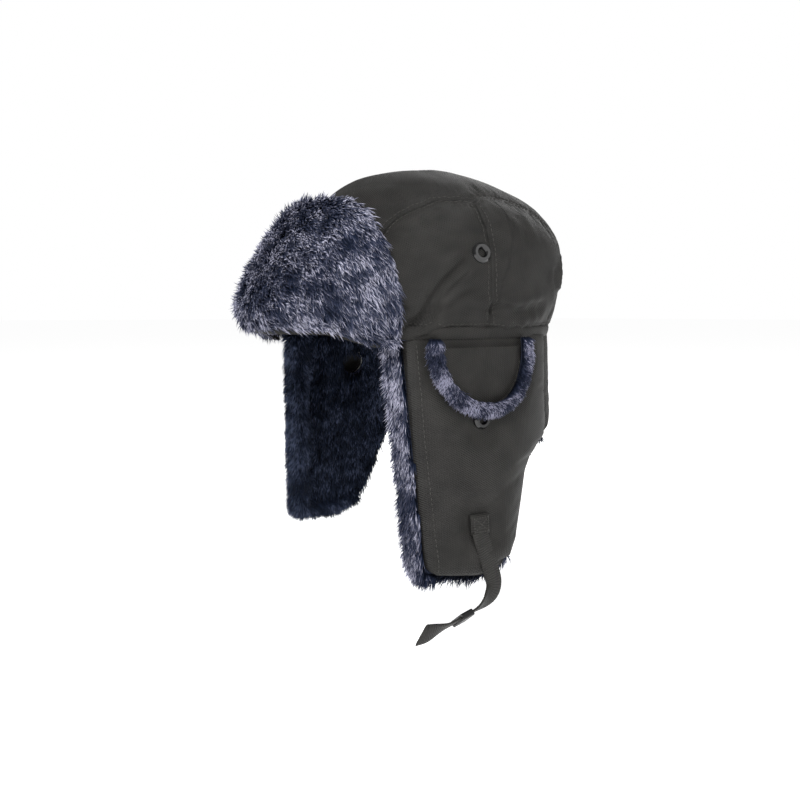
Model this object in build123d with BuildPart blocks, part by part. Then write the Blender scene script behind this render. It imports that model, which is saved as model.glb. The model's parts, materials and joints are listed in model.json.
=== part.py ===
from build123d import *
from math import cos, radians, sin, sqrt, tan
import os

# Trapper hat, millimetres. +Z is up, the wearer faces -Y, the wearer's left is +X.
# The origin is the middle of the head opening, level with the rim.

# Rim and crown
rim_half_width = 96.0
rim_half_length = 117.0
# Each ring of the crown: height, half width, half length, and how far its middle sits back
crown_rings = [
    (-12.0, 96.0, 117.0, 0.0),
    (0.0, 96.0, 117.0, 0.0),
    (25.0, 100.5, 117.0, 6.5),
    (50.0, 101.0, 111.5, 15.0),
    (73.0, 95.0, 100.5, 20.0),
    (90.0, 82.0, 85.5, 19.0),
    (104.0, 61.0, 64.0, 13.5),
    (114.0, 38.0, 39.0, 7.5),
    (119.5, 16.0, 16.0, 3.0),
]
crown_height = 119.5
center_strip_half_width = 70.0
side_seam_y = 0.0
rim_band_height = 7.0
rim_band_proud = 1.4

# Cloth, wadding and pile
shell_thickness = 1.2
padding_thickness = 3.2
lining_thickness = 2.6
pile_thickness = 11.0
visor_pile_thickness = 9.0

# Skirt: the flaps are cut from a slightly flared band that hangs from the rim
skirt_top = -2.0
skirt_depth = 200.0
skirt_bottom_half_width = 114.0
skirt_bottom_half_length = 116.0
pile_overhang = 4.0

# Ear flaps, outline seen from the side: y, z
ear_front_top_y = -58.0
ear_rear_top_y = 80.0
ear_outline = [
    (ear_front_top_y, skirt_top),
    (-50.0, -156.0),
    (-11.0, -160.0),
    (20.0, -147.0),
    (38.0, -91.0),
    (55.0, -82.0),
    (ear_rear_top_y, -77.0),
    (ear_rear_top_y, skirt_top),
]
ear_corner_radii = [2.0, 9.0, 14.0, 9.0, 16.0, 12.0, 3.0, 2.0]
ear_hole_y = 4.0
ear_hole_z = -27.0
ear_hole_radius = 11.0

# Neck flap
neck_front_y = 82.5
neck_bottom_z = -77.0

# Ear covers: a half-round flap with a pile edge, sewn on below the rim
cover_y = -1.0
cover_half_width = 33.0
cover_top_z = -7.0
cover_depth = 40.0
cover_gap = 0.6
cover_trim_width = 9.0
cover_trim_thickness = 6.5
cover_trim_top_z = -17.0

# Visor, folded up against the front of the crown
visor_gap = 1.8
visor_side_y = -65.0
visor_front_y = -150.0
visor_top_z = 84.0
visor_pile_top_z = 91.0
visor_side_bottom_z = -1.0
visor_front_bottom_z = 6.0
visor_pile_drop = 7.0

# Snaps
snap_radius = 6.6
snap_bore = 2.6
snap_height = 2.6
snap_cap_radius = 5.4
snap_stem_radius = 3.5
snap_prong_radius = 5.4
snap_sink = 0.35
crown_snap_z = 54.0
crown_snap_x = 98.05
flap_snap_z = -55.0
snap_y = -8.0

# Chin straps
strap_width = 13.0
strap_thickness = 1.5
strap_y = -14.0
patch_top_z = -118.0
patch_bottom_z = -130.0
patch_thickness = 1.5
strap_route = [
    (109.0, -14.0, -132.4),
    (111.4, -9.0, -151.0),
    (113.2, -3.5, -168.0),
    (113.8, -18.0, -179.5),
    (114.2, -52.0, -186.0),
    (114.4, -70.0, -185.0),
]
strap_stations = 22
strap_turn = 50.0
strap_turn_start = 0.36
strap_turn_end = 0.56
slider_length = 9.0
slider_width = 18.0
slider_thickness = 4.4
slider_clearance = 0.4
slider_window = 2.2
slider_lead = 2.5

# The right strap is a short doubled tab that holds a ring
tab_start = (-112.0, -14.0, -131.0)
tab_length = 15.0
tab_eye_radius = 2.7
ring_rod_radius = 1.2
ring_bore_clearance = 0.06
ring_width = 20.0
ring_height = 11.0

os.makedirs("parts", exist_ok=True)


def save(shape, name):
    shape.label = name
    export_step(shape, f"parts/{name}.step")


def crown_form(inset):
    """The solid crown, every face moved in by inset."""
    squeeze = (crown_height - inset) / crown_height
    with BuildPart() as form:
        for height, half_width, half_length, back in crown_rings:
            level = height * squeeze if height > 0 else height
            with BuildSketch(Plane.XY.offset(level)):
                with Locations((0, back)):
                    Ellipse(half_width - inset, half_length - inset)
        loft()
    return form.part


def skirt_form(inset):
    """The flared column whose wall the flaps are cut from."""
    with BuildPart() as form:
        with BuildSketch(Plane.XY.offset(skirt_top)):
            Ellipse(rim_half_width - inset, rim_half_length - inset)
        with BuildSketch(Plane.XY.offset(skirt_top - skirt_depth)):
            Ellipse(skirt_bottom_half_width - inset, skirt_bottom_half_length - inset)
        loft(ruled=True)
    return form.part


def skirt_half_width(z):
    """Half width of the outside of the skirt at a height."""
    share = (skirt_top - z) / skirt_depth
    return rim_half_width + share * (skirt_bottom_half_width - rim_half_width)


def skirt_x(y, z):
    """How far out the skirt's outside is at a place on it."""
    share = (skirt_top - z) / skirt_depth
    half_length = rim_half_length + share * (skirt_bottom_half_length - rim_half_length)
    return skirt_half_width(z) * sqrt(1 - (y / half_length) ** 2)


def crown_layer(outer, inner, low, high):
    """One layer of the crown wall between two insets, kept between two heights."""
    with BuildPart() as layer:
        add(crown_form(outer))
        add(crown_form(inner), mode=Mode.SUBTRACT)
        with Locations((0, 0, (low + high) / 2)):
            Box(400, 400, high - low, mode=Mode.INTERSECT)
    return layer.part


def skirt_layer(outer, inner):
    """One layer of the skirt wall between two insets."""
    with BuildPart() as layer:
        add(skirt_form(outer))
        add(skirt_form(inner), mode=Mode.SUBTRACT)
    return layer.part


def cut_box(layer, low, high):
    """The part of a layer inside a box given by its low and high corners."""
    size = [b - a for a, b in zip(low, high)]
    middle = tuple((a + b) / 2 for a, b in zip(low, high))
    with BuildPart() as piece:
        add(layer)
        with Locations(middle):
            Box(*size, mode=Mode.INTERSECT)
    return piece.part


def side_cutter(points, radii, grow=0.0):
    """A wide bar with a rounded outline drawn in the side view, y to z, on the left side."""
    with BuildPart() as bar:
        with BuildSketch(Plane.YZ.offset(20)):
            with BuildLine():
                FilletPolyline(*points, radius=radii, close=True)
            make_face()
            if grow:
                offset(amount=grow)
        extrude(amount=140)
    return bar.part


def snap_plane(point, normal):
    """A plane on the cloth at a snap, its Z pointing out of the cloth."""
    return Plane(origin=point, x_dir=(0, 1, 0), z_dir=normal)


def snap_seat(plane):
    """What a snap removes from the cloth: a shallow seat and the hole for its stem."""
    with BuildPart(plane) as seat:
        Cylinder(snap_stem_radius, 12)
        with Locations((0, 0, -snap_sink)):
            Cylinder(snap_radius + 0.1, 4, align=(Align.CENTER, Align.CENTER, Align.MIN))
    return seat.part


def snap_recess(plane):
    """What the prong ring removes from the wadding behind the cloth."""
    with BuildPart(plane) as recess:
        with Locations((0, 0, -shell_thickness - 2.0)):
            Cylinder(snap_prong_radius + 0.3, 6, align=(Align.CENTER, Align.CENTER, Align.MIN))
    return recess.part


def snap_ring(plane):
    """The open ring that shows on the outside."""
    with BuildPart() as ring:
        with BuildSketch(Plane.XZ):
            with BuildLine():
                Polyline(
                    (snap_bore, -snap_sink),
                    (snap_radius, -snap_sink),
                    (snap_radius, snap_height * 0.45),
                    (snap_cap_radius, snap_height),
                    (snap_bore + 1.0, snap_height),
                    (snap_bore, snap_height * 0.5),
                    close=True,
                )
            make_face()
        revolve(axis=Axis.Z)
    return plane.location * ring.part


def snap_prong(plane):
    """The ring behind the cloth, with the collar that comes through it."""
    with BuildPart() as prong:
        with Locations((0, 0, -shell_thickness - 1.3)):
            Cylinder(snap_prong_radius, 1.0, align=(Align.CENTER, Align.CENTER, Align.MIN))
            Cylinder(
                snap_stem_radius - 0.1,
                shell_thickness + 1.3 - snap_sink,
                align=(Align.CENTER, Align.CENTER, Align.MIN),
            )
        Cylinder(snap_bore, 12, mode=Mode.SUBTRACT)
    return plane.location * prong.part


# Places worked out from the dimensions above
shell_in = shell_thickness
padding_in = shell_in + padding_thickness
lining_in = padding_in + lining_thickness
pile_in = padding_in + pile_thickness
crown_floor = 0.0
far = 300.0

crown_snap_plane = snap_plane((crown_snap_x, snap_y, crown_snap_z), (1.0, -0.206, 0.212))
flap_snap_x = skirt_x(snap_y, flap_snap_z)
flap_snap_plane = snap_plane((flap_snap_x, snap_y, flap_snap_z), (1.0, -0.02, 0.09))


def make_crown():
    """Five cloth panels, one wadding dome and one lining dome."""
    shell = crown_layer(0, shell_in, crown_floor, far)
    side = center_strip_half_width
    panels = {
        "crown_center_panel": ((-side, -far, -far), (side, far, far)),
        "crown_side_front_left": ((side, -far, -far), (far, side_seam_y, far)),
        "crown_side_back_left": ((side, side_seam_y, -far), (far, far, far)),
        "crown_side_front_right": ((-far, -far, -far), (-side, side_seam_y, far)),
        "crown_side_back_right": ((-far, side_seam_y, -far), (-side, far, far)),
    }
    seat = snap_seat(crown_snap_plane)
    seats = [seat, mirror(seat, about=Plane.YZ)]
    recess = snap_recess(crown_snap_plane)
    recesses = [recess, mirror(recess, about=Plane.YZ)]
    for name, (low, high) in panels.items():
        with BuildPart() as panel:
            add(cut_box(shell, low, high))
            if name.startswith("crown_side"):
                add(seats, mode=Mode.SUBTRACT)
        save(panel.part, name)
    with BuildPart() as padding:
        add(crown_layer(shell_in, padding_in, crown_floor, far))
        add(recesses, mode=Mode.SUBTRACT)
        add(seats, mode=Mode.SUBTRACT)
    save(padding.part, "crown_padding")
    save(crown_layer(padding_in, lining_in, crown_floor, far), "crown_lining")
    save(crown_layer(-rim_band_proud, 0, crown_floor, rim_band_height), "rim_band")


def make_snaps():
    """A ring and a prong ring at each snap, on both sides of the hat."""
    for place, plane in (("crown", crown_snap_plane), ("flap", flap_snap_plane)):
        for piece, shape in (("ring", snap_ring(plane)), ("prong", snap_prong(plane))):
            save(shape, f"{place}_snap_{piece}_left")
            save(mirror(shape, about=Plane.YZ), f"{place}_snap_{piece}_right")


def ear_layer(outer, inner, grow=0.0):
    """One layer of the left ear flap, with the hole over the ear cut through it."""
    with BuildPart() as layer:
        add(skirt_layer(outer, inner))
        add(side_cutter(ear_outline, ear_corner_radii, grow), mode=Mode.INTERSECT)
        with BuildSketch(Plane.YZ):
            with Locations((ear_hole_y, ear_hole_z)):
                Circle(ear_hole_radius)
        extrude(amount=200, mode=Mode.SUBTRACT)
    low = (0, -far, -far)
    high = (far, ear_rear_top_y, skirt_top)
    return cut_box(layer.part, low, high)


def make_ear_flaps():
    """Cloth, wadding and pile of each ear flap."""
    with BuildPart() as shell:
        add(ear_layer(0, shell_in))
        add(snap_seat(flap_snap_plane), mode=Mode.SUBTRACT)
    with BuildPart() as padding:
        add(ear_layer(shell_in, padding_in))
        add(snap_recess(flap_snap_plane), mode=Mode.SUBTRACT)
        add(snap_seat(flap_snap_plane), mode=Mode.SUBTRACT)
    pile = ear_layer(padding_in, pile_in, pile_overhang)
    layers = {"shell": shell.part, "padding": padding.part, "pile": pile}
    for name, layer in layers.items():
        save(layer, f"ear_flap_{name}_left")
        save(mirror(layer, about=Plane.YZ), f"ear_flap_{name}_right")


def make_neck_flap():
    """Cloth, wadding and pile of the piece that covers the nape."""
    low = (-far, neck_front_y, neck_bottom_z)
    high = (far, far, skirt_top)
    pile_low = (-far, neck_front_y, neck_bottom_z - pile_overhang)
    save(cut_box(skirt_layer(0, shell_in), low, high), "neck_flap_shell")
    save(cut_box(skirt_layer(shell_in, padding_in), low, high), "neck_flap_padding")
    save(cut_box(skirt_layer(padding_in, pile_in), pile_low, high), "neck_flap_pile")


def half_round(half_width, top, depth):
    """A bar whose side view is flat on top and half round below."""
    with BuildPart() as bar:
        with BuildSketch(Plane.YZ.offset(20)):
            with Locations((cover_y, top)):
                Ellipse(half_width, depth)
                Rectangle(
                    3 * half_width,
                    2 * depth,
                    align=(Align.CENTER, Align.MIN),
                    mode=Mode.SUBTRACT,
                )
        extrude(amount=140)
    return bar.part


def make_ear_covers():
    """The half-round cover of each ear hole, with the pile edge around its round side."""
    outer = -cover_gap - shell_thickness
    with BuildPart() as shell:
        add(skirt_layer(outer, -cover_gap))
        add(half_round(cover_half_width, cover_top_z, cover_depth), mode=Mode.INTERSECT)
    wide = cover_half_width + cover_trim_width
    deep = cover_depth + cover_trim_width
    with BuildPart() as trim:
        add(skirt_layer(-cover_gap - cover_trim_thickness, -cover_gap))
        add(half_round(wide, cover_top_z, deep), mode=Mode.INTERSECT)
        add(half_round(cover_half_width, cover_top_z, cover_depth), mode=Mode.SUBTRACT)
        with Locations((100, 0, cover_trim_top_z)):
            Box(100, 200, 60, align=(Align.CENTER, Align.CENTER, Align.MIN), mode=Mode.SUBTRACT)
        add(snap_clearance(), mode=Mode.SUBTRACT)
    for name, shape in (("shell", shell.part), ("trim", trim.part)):
        save(shape, f"ear_cover_{name}_left")
        save(mirror(shape, about=Plane.YZ), f"ear_cover_{name}_right")


def snap_clearance():
    """Room in the pile edge for the snap under it."""
    with BuildPart(flap_snap_plane) as room:
        Cylinder(snap_radius + 1.0, 2 * (snap_height + 0.6))
    return room.part


def visor_cutter(top, drop):
    """A wide bar whose side view is the visor's: open top, sloping bottom edge."""
    with BuildPart() as bar:
        with BuildSketch(Plane.YZ.offset(-150)):
            with BuildLine():
                Polyline(
                    (visor_side_y, visor_side_bottom_z - drop),
                    (visor_side_y, top),
                    (visor_front_y, top),
                    (visor_front_y, visor_front_bottom_z - drop),
                    close=True,
                )
            make_face()
        extrude(amount=300)
    return bar.part


def visor_layer(outer, inner, cutter):
    """One layer of the visor, lying outside the crown."""
    with BuildPart() as layer:
        add(crown_layer(outer, inner, -12, far))
        add(cutter, mode=Mode.INTERSECT)
    return layer.part


def make_visor():
    """The fold-up front: cloth against the crown, then wadding, then pile outside."""
    cloth = -visor_gap - shell_thickness
    wadding = cloth - padding_thickness
    pile = wadding - visor_pile_thickness
    flat_cutter = visor_cutter(visor_top_z, 0)
    pile_cutter = visor_cutter(visor_pile_top_z, visor_pile_drop)
    save(visor_layer(cloth, -visor_gap, flat_cutter), "visor_shell")
    save(visor_layer(wadding, cloth, flat_cutter), "visor_padding")
    save(visor_layer(pile, wadding, pile_cutter), "visor_pile")


def strap_path():
    """The line that the left chin strap follows: straight runs joined by arcs."""
    runs = [(Vector(b) - Vector(a)) for a, b in zip(strap_route, strap_route[1:])]
    radii = []
    for before, after in zip(runs, runs[1:]):
        turn = radians(before.get_angle(after))
        radii.append(0.45 * min(before.length, after.length) / tan(turn / 2))
    print("strap radii", [round(radius, 1) for radius in radii])
    with BuildLine() as line:
        FilletPolyline(*strap_route, radius=radii)
    return line.wire()


def strap_frame(path, share):
    """The plane across the strap at a share of its length, X along the strap's width."""
    along = path.tangent_at(share)
    outward = Vector(1, 0, 0)
    outward = (outward - along * outward.dot(along)).normalized()
    step = (share - strap_turn_start) / (strap_turn_end - strap_turn_start)
    step = min(1.0, max(0.0, step))
    angle = radians(strap_turn) * step * step * (3 - 2 * step)
    side = along.cross(outward)
    facing = outward * cos(angle) - side * sin(angle)
    return Plane(origin=path.position_at(share), x_dir=facing.cross(along), z_dir=along)


def make_left_strap():
    """The long strap with its slider, and the patch that sews it to the flap."""
    path = strap_path()
    with BuildPart() as strap:
        for index in range(strap_stations + 1):
            with BuildSketch(strap_frame(path, index / strap_stations)):
                Rectangle(strap_width, strap_thickness)
        loft(ruled=True)
    save(strap.part, "chin_strap_left")
    section = strap_width * strap_thickness
    print("strap length", round(path.length, 1), "volume share", strap.part.volume / section / path.length)
    straight_start = slider_share(path)
    frame = strap_frame(path, straight_start)
    with BuildPart() as slider:
        with BuildSketch():
            RectangleRounded(slider_width, slider_thickness, 1.2)
        extrude(amount=slider_length)
        with Locations((0, 0, slider_length / 2)):
            Box(
                strap_width + 2 * slider_clearance,
                strap_thickness + 2 * slider_clearance,
                2 * slider_length,
                mode=Mode.SUBTRACT,
            )
            with Locations((0, slider_thickness / 2, -slider_window), (0, slider_thickness / 2, slider_window)):
                Box(strap_width, slider_thickness, slider_window, mode=Mode.SUBTRACT)
        fillet(slider.edges().filter_by(GeomType.LINE).filter_by(Axis.X).group_by(SortBy.LENGTH)[-1], 0.3)
    save(frame.location * slider.part, "strap_slider_left")
    print("slider at", frame.origin, "along", frame.z_dir)


def slider_share(path):
    """The share of the strap's length where its last long straight run starts."""
    edges = path.edges().sort_by_distance(strap_route[0])
    tail = [edge for edge in edges if edge.geom_type == GeomType.LINE][-2]
    start = path.param_at_point(tail.position_at(0))
    return start + slider_lead / path.length


def make_patches():
    """The sewn end of each chin strap, flat on its flap."""
    low = (0, strap_y - strap_width / 2, patch_bottom_z)
    high = (far, strap_y + strap_width / 2, patch_top_z)
    patch = cut_box(skirt_layer(-patch_thickness, 0), low, high)
    save(patch, "strap_patch_left")
    save(mirror(patch, about=Plane.YZ), "strap_patch_right")


def make_right_strap():
    """The short tab with an eye at its end, and the ring that swings in the eye."""
    x, y, z = tab_start
    eye_z = z - tab_length
    with BuildPart() as tab:
        with BuildSketch(Plane.XZ.offset(-y - strap_width / 2)):
            with Locations((x, z - tab_length / 2)):
                Rectangle(2 * strap_thickness, tab_length)
            with Locations((x, eye_z)):
                Circle(tab_eye_radius)
                Circle(ring_rod_radius + ring_bore_clearance, mode=Mode.SUBTRACT)
        extrude(amount=strap_width)
    save(tab.part, "chin_strap_right")
    half = ring_width / 2
    corners = [
        (x, y - half, eye_z),
        (x, y + half, eye_z),
        (x, y + half, eye_z - ring_height),
        (x, y - half, eye_z - ring_height),
    ]
    with BuildPart() as ring:
        with BuildLine() as line:
            FilletPolyline(*corners, radius=2 * ring_rod_radius, close=True)
        with BuildSketch(Plane(origin=line.line @ 0, z_dir=line.line % 0)):
            Circle(ring_rod_radius)
        sweep(path=line.line)
    save(ring.part, "strap_ring_right")
    print("tab hinge", (x, y, z), "ring hinge", (x, y, eye_z))


def main():
    make_crown()
    make_snaps()
    make_ear_flaps()
    make_neck_flap()
    make_ear_covers()
    make_visor()
    make_left_strap()
    make_patches()
    make_right_strap()


main()
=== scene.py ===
import json
from math import asin, cos, pi, radians, sin, sqrt

import bmesh
import bpy
import numpy as np
from mathutils import Matrix, Vector, noise
from mathutils.bvhtree import BVHTree

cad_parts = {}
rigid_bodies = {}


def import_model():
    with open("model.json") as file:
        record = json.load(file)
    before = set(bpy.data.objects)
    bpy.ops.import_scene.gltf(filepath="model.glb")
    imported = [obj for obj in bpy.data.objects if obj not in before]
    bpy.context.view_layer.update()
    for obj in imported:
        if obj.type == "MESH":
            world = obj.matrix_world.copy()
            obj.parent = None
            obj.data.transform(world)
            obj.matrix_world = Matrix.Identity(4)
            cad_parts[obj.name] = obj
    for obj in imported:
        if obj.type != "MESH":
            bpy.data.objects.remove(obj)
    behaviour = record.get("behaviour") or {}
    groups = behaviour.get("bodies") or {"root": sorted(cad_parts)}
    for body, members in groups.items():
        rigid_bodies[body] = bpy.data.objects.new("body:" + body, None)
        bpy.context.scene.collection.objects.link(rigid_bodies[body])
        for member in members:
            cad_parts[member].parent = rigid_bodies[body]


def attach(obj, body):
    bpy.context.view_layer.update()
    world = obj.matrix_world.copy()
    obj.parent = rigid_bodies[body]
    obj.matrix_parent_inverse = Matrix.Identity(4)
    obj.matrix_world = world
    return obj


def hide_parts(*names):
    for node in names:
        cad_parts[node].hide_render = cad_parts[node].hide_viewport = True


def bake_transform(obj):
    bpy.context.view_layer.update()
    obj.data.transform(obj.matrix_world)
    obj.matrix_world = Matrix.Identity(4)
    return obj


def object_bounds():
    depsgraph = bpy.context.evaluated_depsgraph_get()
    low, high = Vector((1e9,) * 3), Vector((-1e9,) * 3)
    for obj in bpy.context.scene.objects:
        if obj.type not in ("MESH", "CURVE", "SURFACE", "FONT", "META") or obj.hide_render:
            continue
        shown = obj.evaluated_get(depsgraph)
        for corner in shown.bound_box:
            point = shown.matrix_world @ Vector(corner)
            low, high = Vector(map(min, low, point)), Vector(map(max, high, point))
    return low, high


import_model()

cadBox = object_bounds()
print("frame loaded")

# the hat's own measures, in metres, the same as the model's
hat = {
    "rimHalfWidth": 0.096,
    "rimHalfLength": 0.117,
    # height, half width, half length, how far back the middle sits
    "crownRings": [
        (-0.012, 0.096, 0.117, 0.0),
        (0.0, 0.096, 0.117, 0.0),
        (0.025, 0.1005, 0.117, 0.0065),
        (0.050, 0.101, 0.1115, 0.015),
        (0.073, 0.095, 0.1005, 0.020),
        (0.090, 0.082, 0.0855, 0.019),
        (0.104, 0.061, 0.064, 0.0135),
        (0.114, 0.038, 0.039, 0.0075),
        (0.1195, 0.016, 0.016, 0.003),
        (0.1208, 0.0, 0.0, 0.001),
    ],
    "stripHalfWidth": 0.070,
    # how far out the long seams run at places from front to back
    "seamPath": [
        (-0.12, 0.052),
        (-0.06, 0.061),
        (-0.028, 0.069),
        (-0.012, 0.0745),
        (0.0, 0.079),
        (0.012, 0.0745),
        (0.03, 0.0745),
        (0.13, 0.0735),
    ],
    "browRise": 0.0085,
    "skirtTop": -0.002,
    "skirtDepth": 0.200,
    "skirtBottomHalfWidth": 0.114,
    "skirtBottomHalfLength": 0.116,
    "clothThickness": 0.0011,
}


# small jobs that many pieces share
def addObject(name, data):
    item = bpy.data.objects.new(name, data)
    bpy.context.collection.objects.link(item)
    return item


def smooth(piece):
    piece.data.polygons.foreach_set("use_smooth", [True] * len(piece.data.polygons))
    return piece


def liveMesh(item):
    # a new mesh with the item's modifiers in it
    graph = bpy.context.evaluated_depsgraph_get()
    return bpy.data.meshes.new_from_object(item.evaluated_get(graph))


def setAll(thing, values):
    for label, value in values.items():
        setattr(thing, label, value)


def addNode(tree, kind, inputs=(), **settings):
    # a node with its settings, and each input given a value or joined to a socket
    node = tree.nodes.new(kind)
    setAll(node, settings)
    for label, value in dict(inputs).items():
        if isinstance(value, bpy.types.NodeSocket):
            tree.links.new(value, node.inputs[label])
        else:
            node.inputs[label].default_value = value
    return node


def mathNode(tree, operation, *values):
    return addNode(tree, "ShaderNodeMath", enumerate(values), operation=operation).outputs[0]


def newGroup(name, inputs, outputs, kind="ShaderNodeTree"):
    group = bpy.data.node_groups.new(name, kind)
    for label, socketKind, value in inputs:
        socket = group.interface.new_socket(name=label, in_out="INPUT", socket_type=socketKind)
        if value is not None:
            socket.default_value = value
    for label, socketKind in outputs:
        group.interface.new_socket(name=label, in_out="OUTPUT", socket_type=socketKind)
    return group, group.nodes.new("NodeGroupInput"), group.nodes.new("NodeGroupOutput")


# camera, light and floor
def makeCamera():
    view = {"azimuth": 56.0, "elevation": 7.0, "distance": 0.547, "slideRight": -0.0046, "slideUp": -0.0524}
    azimuth = radians(view["azimuth"])
    elevation = radians(view["elevation"])
    back = Vector((sin(azimuth) * cos(elevation), -cos(azimuth) * cos(elevation), sin(elevation)))
    right = Vector((cos(azimuth), sin(azimuth), 0))
    up = back.cross(right)
    data = bpy.data.cameras.new("camera")
    setAll(data, {"lens": 31.5, "sensor_width": 36.0, "clip_start": 0.01})
    turn = Matrix((right, up, back)).transposed().to_4x4()
    place = back * view["distance"] + right * view["slideRight"] + up * view["slideUp"]
    camera = addObject("camera", data)
    camera.matrix_world = Matrix.Translation(place) @ turn
    bpy.context.scene.camera = camera


def makeLight(name, place, aim, size, power):
    data = bpy.data.lights.new(name, "AREA")
    setAll(data, {"size": size, "energy": power})
    light = addObject(name, data)
    light.location = place
    light.rotation_euler = (Vector(aim) - Vector(place)).to_track_quat("-Z", "Y").to_euler()


def makeStudio():
    studio = {"floorDrop": 0.03, "floorSize": 60.0, "floorGlow": 0.62, "skyLight": 0.36}
    white = (1, 1, 1, 1)
    makeLight("key", (0.9, -0.9, 1.1), (0, 0, -0.02), 0.35, 32)
    makeLight("fill", (1.5, 0.4, 0.35), (0, 0, -0.05), 1.2, 8)
    makeLight("front", (-0.5, -1.5, 0.3), (0, 0, -0.05), 1.0, 7)
    makeLight("back", (-0.9, 1.2, 0.9), (0, 0, 0), 1.0, 10)
    world = bpy.data.worlds.new("world")
    bpy.context.scene.world = world
    world.use_nodes = True
    tree = world.node_tree
    background = tree.nodes["Background"]
    background.inputs["Color"].default_value = white
    # the backdrop is white to the camera and dimmer as a light
    seen = addNode(tree, "ShaderNodeLightPath").outputs["Is Camera Ray"]
    dim = mathNode(tree, "MULTIPLY_ADD", seen, 1 - studio["skyLight"], studio["skyLight"])
    tree.links.new(dim, background.inputs["Strength"])
    bpy.context.scene.view_settings.view_transform = "Standard"
    half = studio["floorSize"] / 2
    level = cadBox[0][2] - studio["floorDrop"]
    mesh = bpy.data.meshes.new("floor")
    corners = [(-half, -half, level), (half, -half, level), (half, half, level), (-half, half, level)]
    mesh.from_pydata(corners, [], [(0, 1, 2, 3)])
    material = bpy.data.materials.new("floorPaper")
    material.use_nodes = True
    paper = material.node_tree.nodes["Principled BSDF"].inputs
    paper["Base Color"].default_value = white
    paper["Roughness"].default_value = 1.0
    paper["Specular IOR Level"].default_value = 0.0
    paper["Emission Color"].default_value = white
    paper["Emission Strength"].default_value = studio["floorGlow"]
    mesh.materials.append(material)
    addObject("floor", mesh)


makeCamera()
makeStudio()
print("camera and light set")


# shared shader groups
def makeWeaveGroup():
    # twill: fine slanted ribs crossed by finer threads, broken up by a little noise
    inputs = [
        ("Place", "NodeSocketVector", None),
        ("Rib pitch", "NodeSocketFloat", 0.0014),
        ("Slant", "NodeSocketFloat", 0.6),
    ]
    outputs = [("Height", "NodeSocketFloat"), ("Mottle", "NodeSocketFloat")]
    group, inside, out = newGroup("twillWeave", inputs, outputs)
    place, pitch, slant = inside.outputs[:3]
    split = addNode(group, "ShaderNodeSeparateXYZ", {0: place}).outputs
    wander = addNode(group, "ShaderNodeTexNoise", {"Vector": place, "Scale": 60.0, "Detail": 3.0}).outputs["Fac"]
    drift = mathNode(group, "MULTIPLY", wander, 0.0016)
    slanted = mathNode(group, "MULTIPLY", split[0], slant)
    across = mathNode(group, "ADD", mathNode(group, "ADD", slanted, split[1]), drift)
    turns = mathNode(group, "DIVIDE", across, pitch)
    rib = mathNode(group, "SINE", mathNode(group, "MULTIPLY", turns, 2 * pi))
    along = mathNode(group, "SUBTRACT", split[0], slanted)
    threadTurns = mathNode(group, "DIVIDE", along, pitch)
    thread = mathNode(group, "SINE", mathNode(group, "MULTIPLY", threadTurns, 5 * pi))
    height = mathNode(group, "ADD", rib, mathNode(group, "MULTIPLY", thread, 0.35))
    group.links.new(height, out.inputs["Height"])
    group.links.new(wander, out.inputs["Mottle"])
    return group


weaveGroup = makeWeaveGroup()


def newMaterial(name, roughness, specular, coat=0.0):
    material = bpy.data.materials.new(name)
    material.use_nodes = True
    tree = material.node_tree
    shader = tree.nodes["Principled BSDF"]
    shader.inputs["Roughness"].default_value = roughness
    shader.inputs["Specular IOR Level"].default_value = specular
    shader.inputs["Coat Weight"].default_value = coat
    return material, tree, shader


def ramp(tree, source, stops):
    node = addNode(tree, "ShaderNodeValToRGB", {0: source})
    elements = node.color_ramp.elements
    while len(elements) < len(stops):
        elements.new(0.5)
    for element, (place, colour) in zip(elements, stops):
        element.position = place
        element.color = (*colour, 1)
    return node.outputs[0]


def bump(tree, shader, height, strength, distance):
    inputs = {"Height": height, "Strength": strength, "Distance": distance}
    tree.links.new(addNode(tree, "ShaderNodeBump", inputs).outputs[0], shader.inputs["Normal"])


def makeCloth(name, dark, light, pitch, slant, strength):
    # woven cloth whose pattern follows the piece's own weave map
    material, tree, shader = newMaterial(name, 0.58, 0.24)
    place = addNode(tree, "ShaderNodeUVMap", uv_map="weave").outputs[0]
    inputs = {"Place": place, "Rib pitch": pitch, "Slant": slant}
    height, mottle = addNode(tree, "ShaderNodeGroup", inputs, node_tree=weaveGroup).outputs[:2]
    mixed = mathNode(tree, "ADD", mathNode(tree, "MULTIPLY", height, 0.16), mottle)
    tree.links.new(ramp(tree, mixed, [(0.2, dark), (0.85, light)]), shader.inputs["Base Color"])
    bump(tree, shader, height, strength, 0.00025)
    return material


def makeFur(name, root, middle, tip, dimTip):
    # pile whose colour runs from a dark root to a pale tip, uneven from tuft to tuft
    patchiness = {"scale": 55.0, "spread": 1.7, "shift": -1.12, "tint": 0.5}
    material, tree, shader = newMaterial(name, 0.6, 0.12)
    along = addNode(tree, "ShaderNodeAttribute", attribute_name="along").outputs["Fac"]
    tint = addNode(tree, "ShaderNodeAttribute", attribute_name="tint").outputs["Fac"]
    place = addNode(tree, "ShaderNodeTexCoord").outputs["Object"]
    inputs = {"Vector": place, "Scale": patchiness["scale"], "Detail": 2.0}
    patches = addNode(tree, "ShaderNodeTexNoise", inputs).outputs["Fac"]
    wide = mathNode(tree, "MULTIPLY_ADD", patches, patchiness["spread"], patchiness["shift"])
    shift = mathNode(tree, "ADD", wide, mathNode(tree, "MULTIPLY", tint, patchiness["tint"]))
    reach = mathNode(tree, "ADD", along, mathNode(tree, "MULTIPLY", shift, along))
    stops = [(0.12, root), (0.45, middle), (0.78, dimTip), (1.0, tip)]
    tree.links.new(ramp(tree, reach, stops), shader.inputs["Base Color"])
    return material


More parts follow.
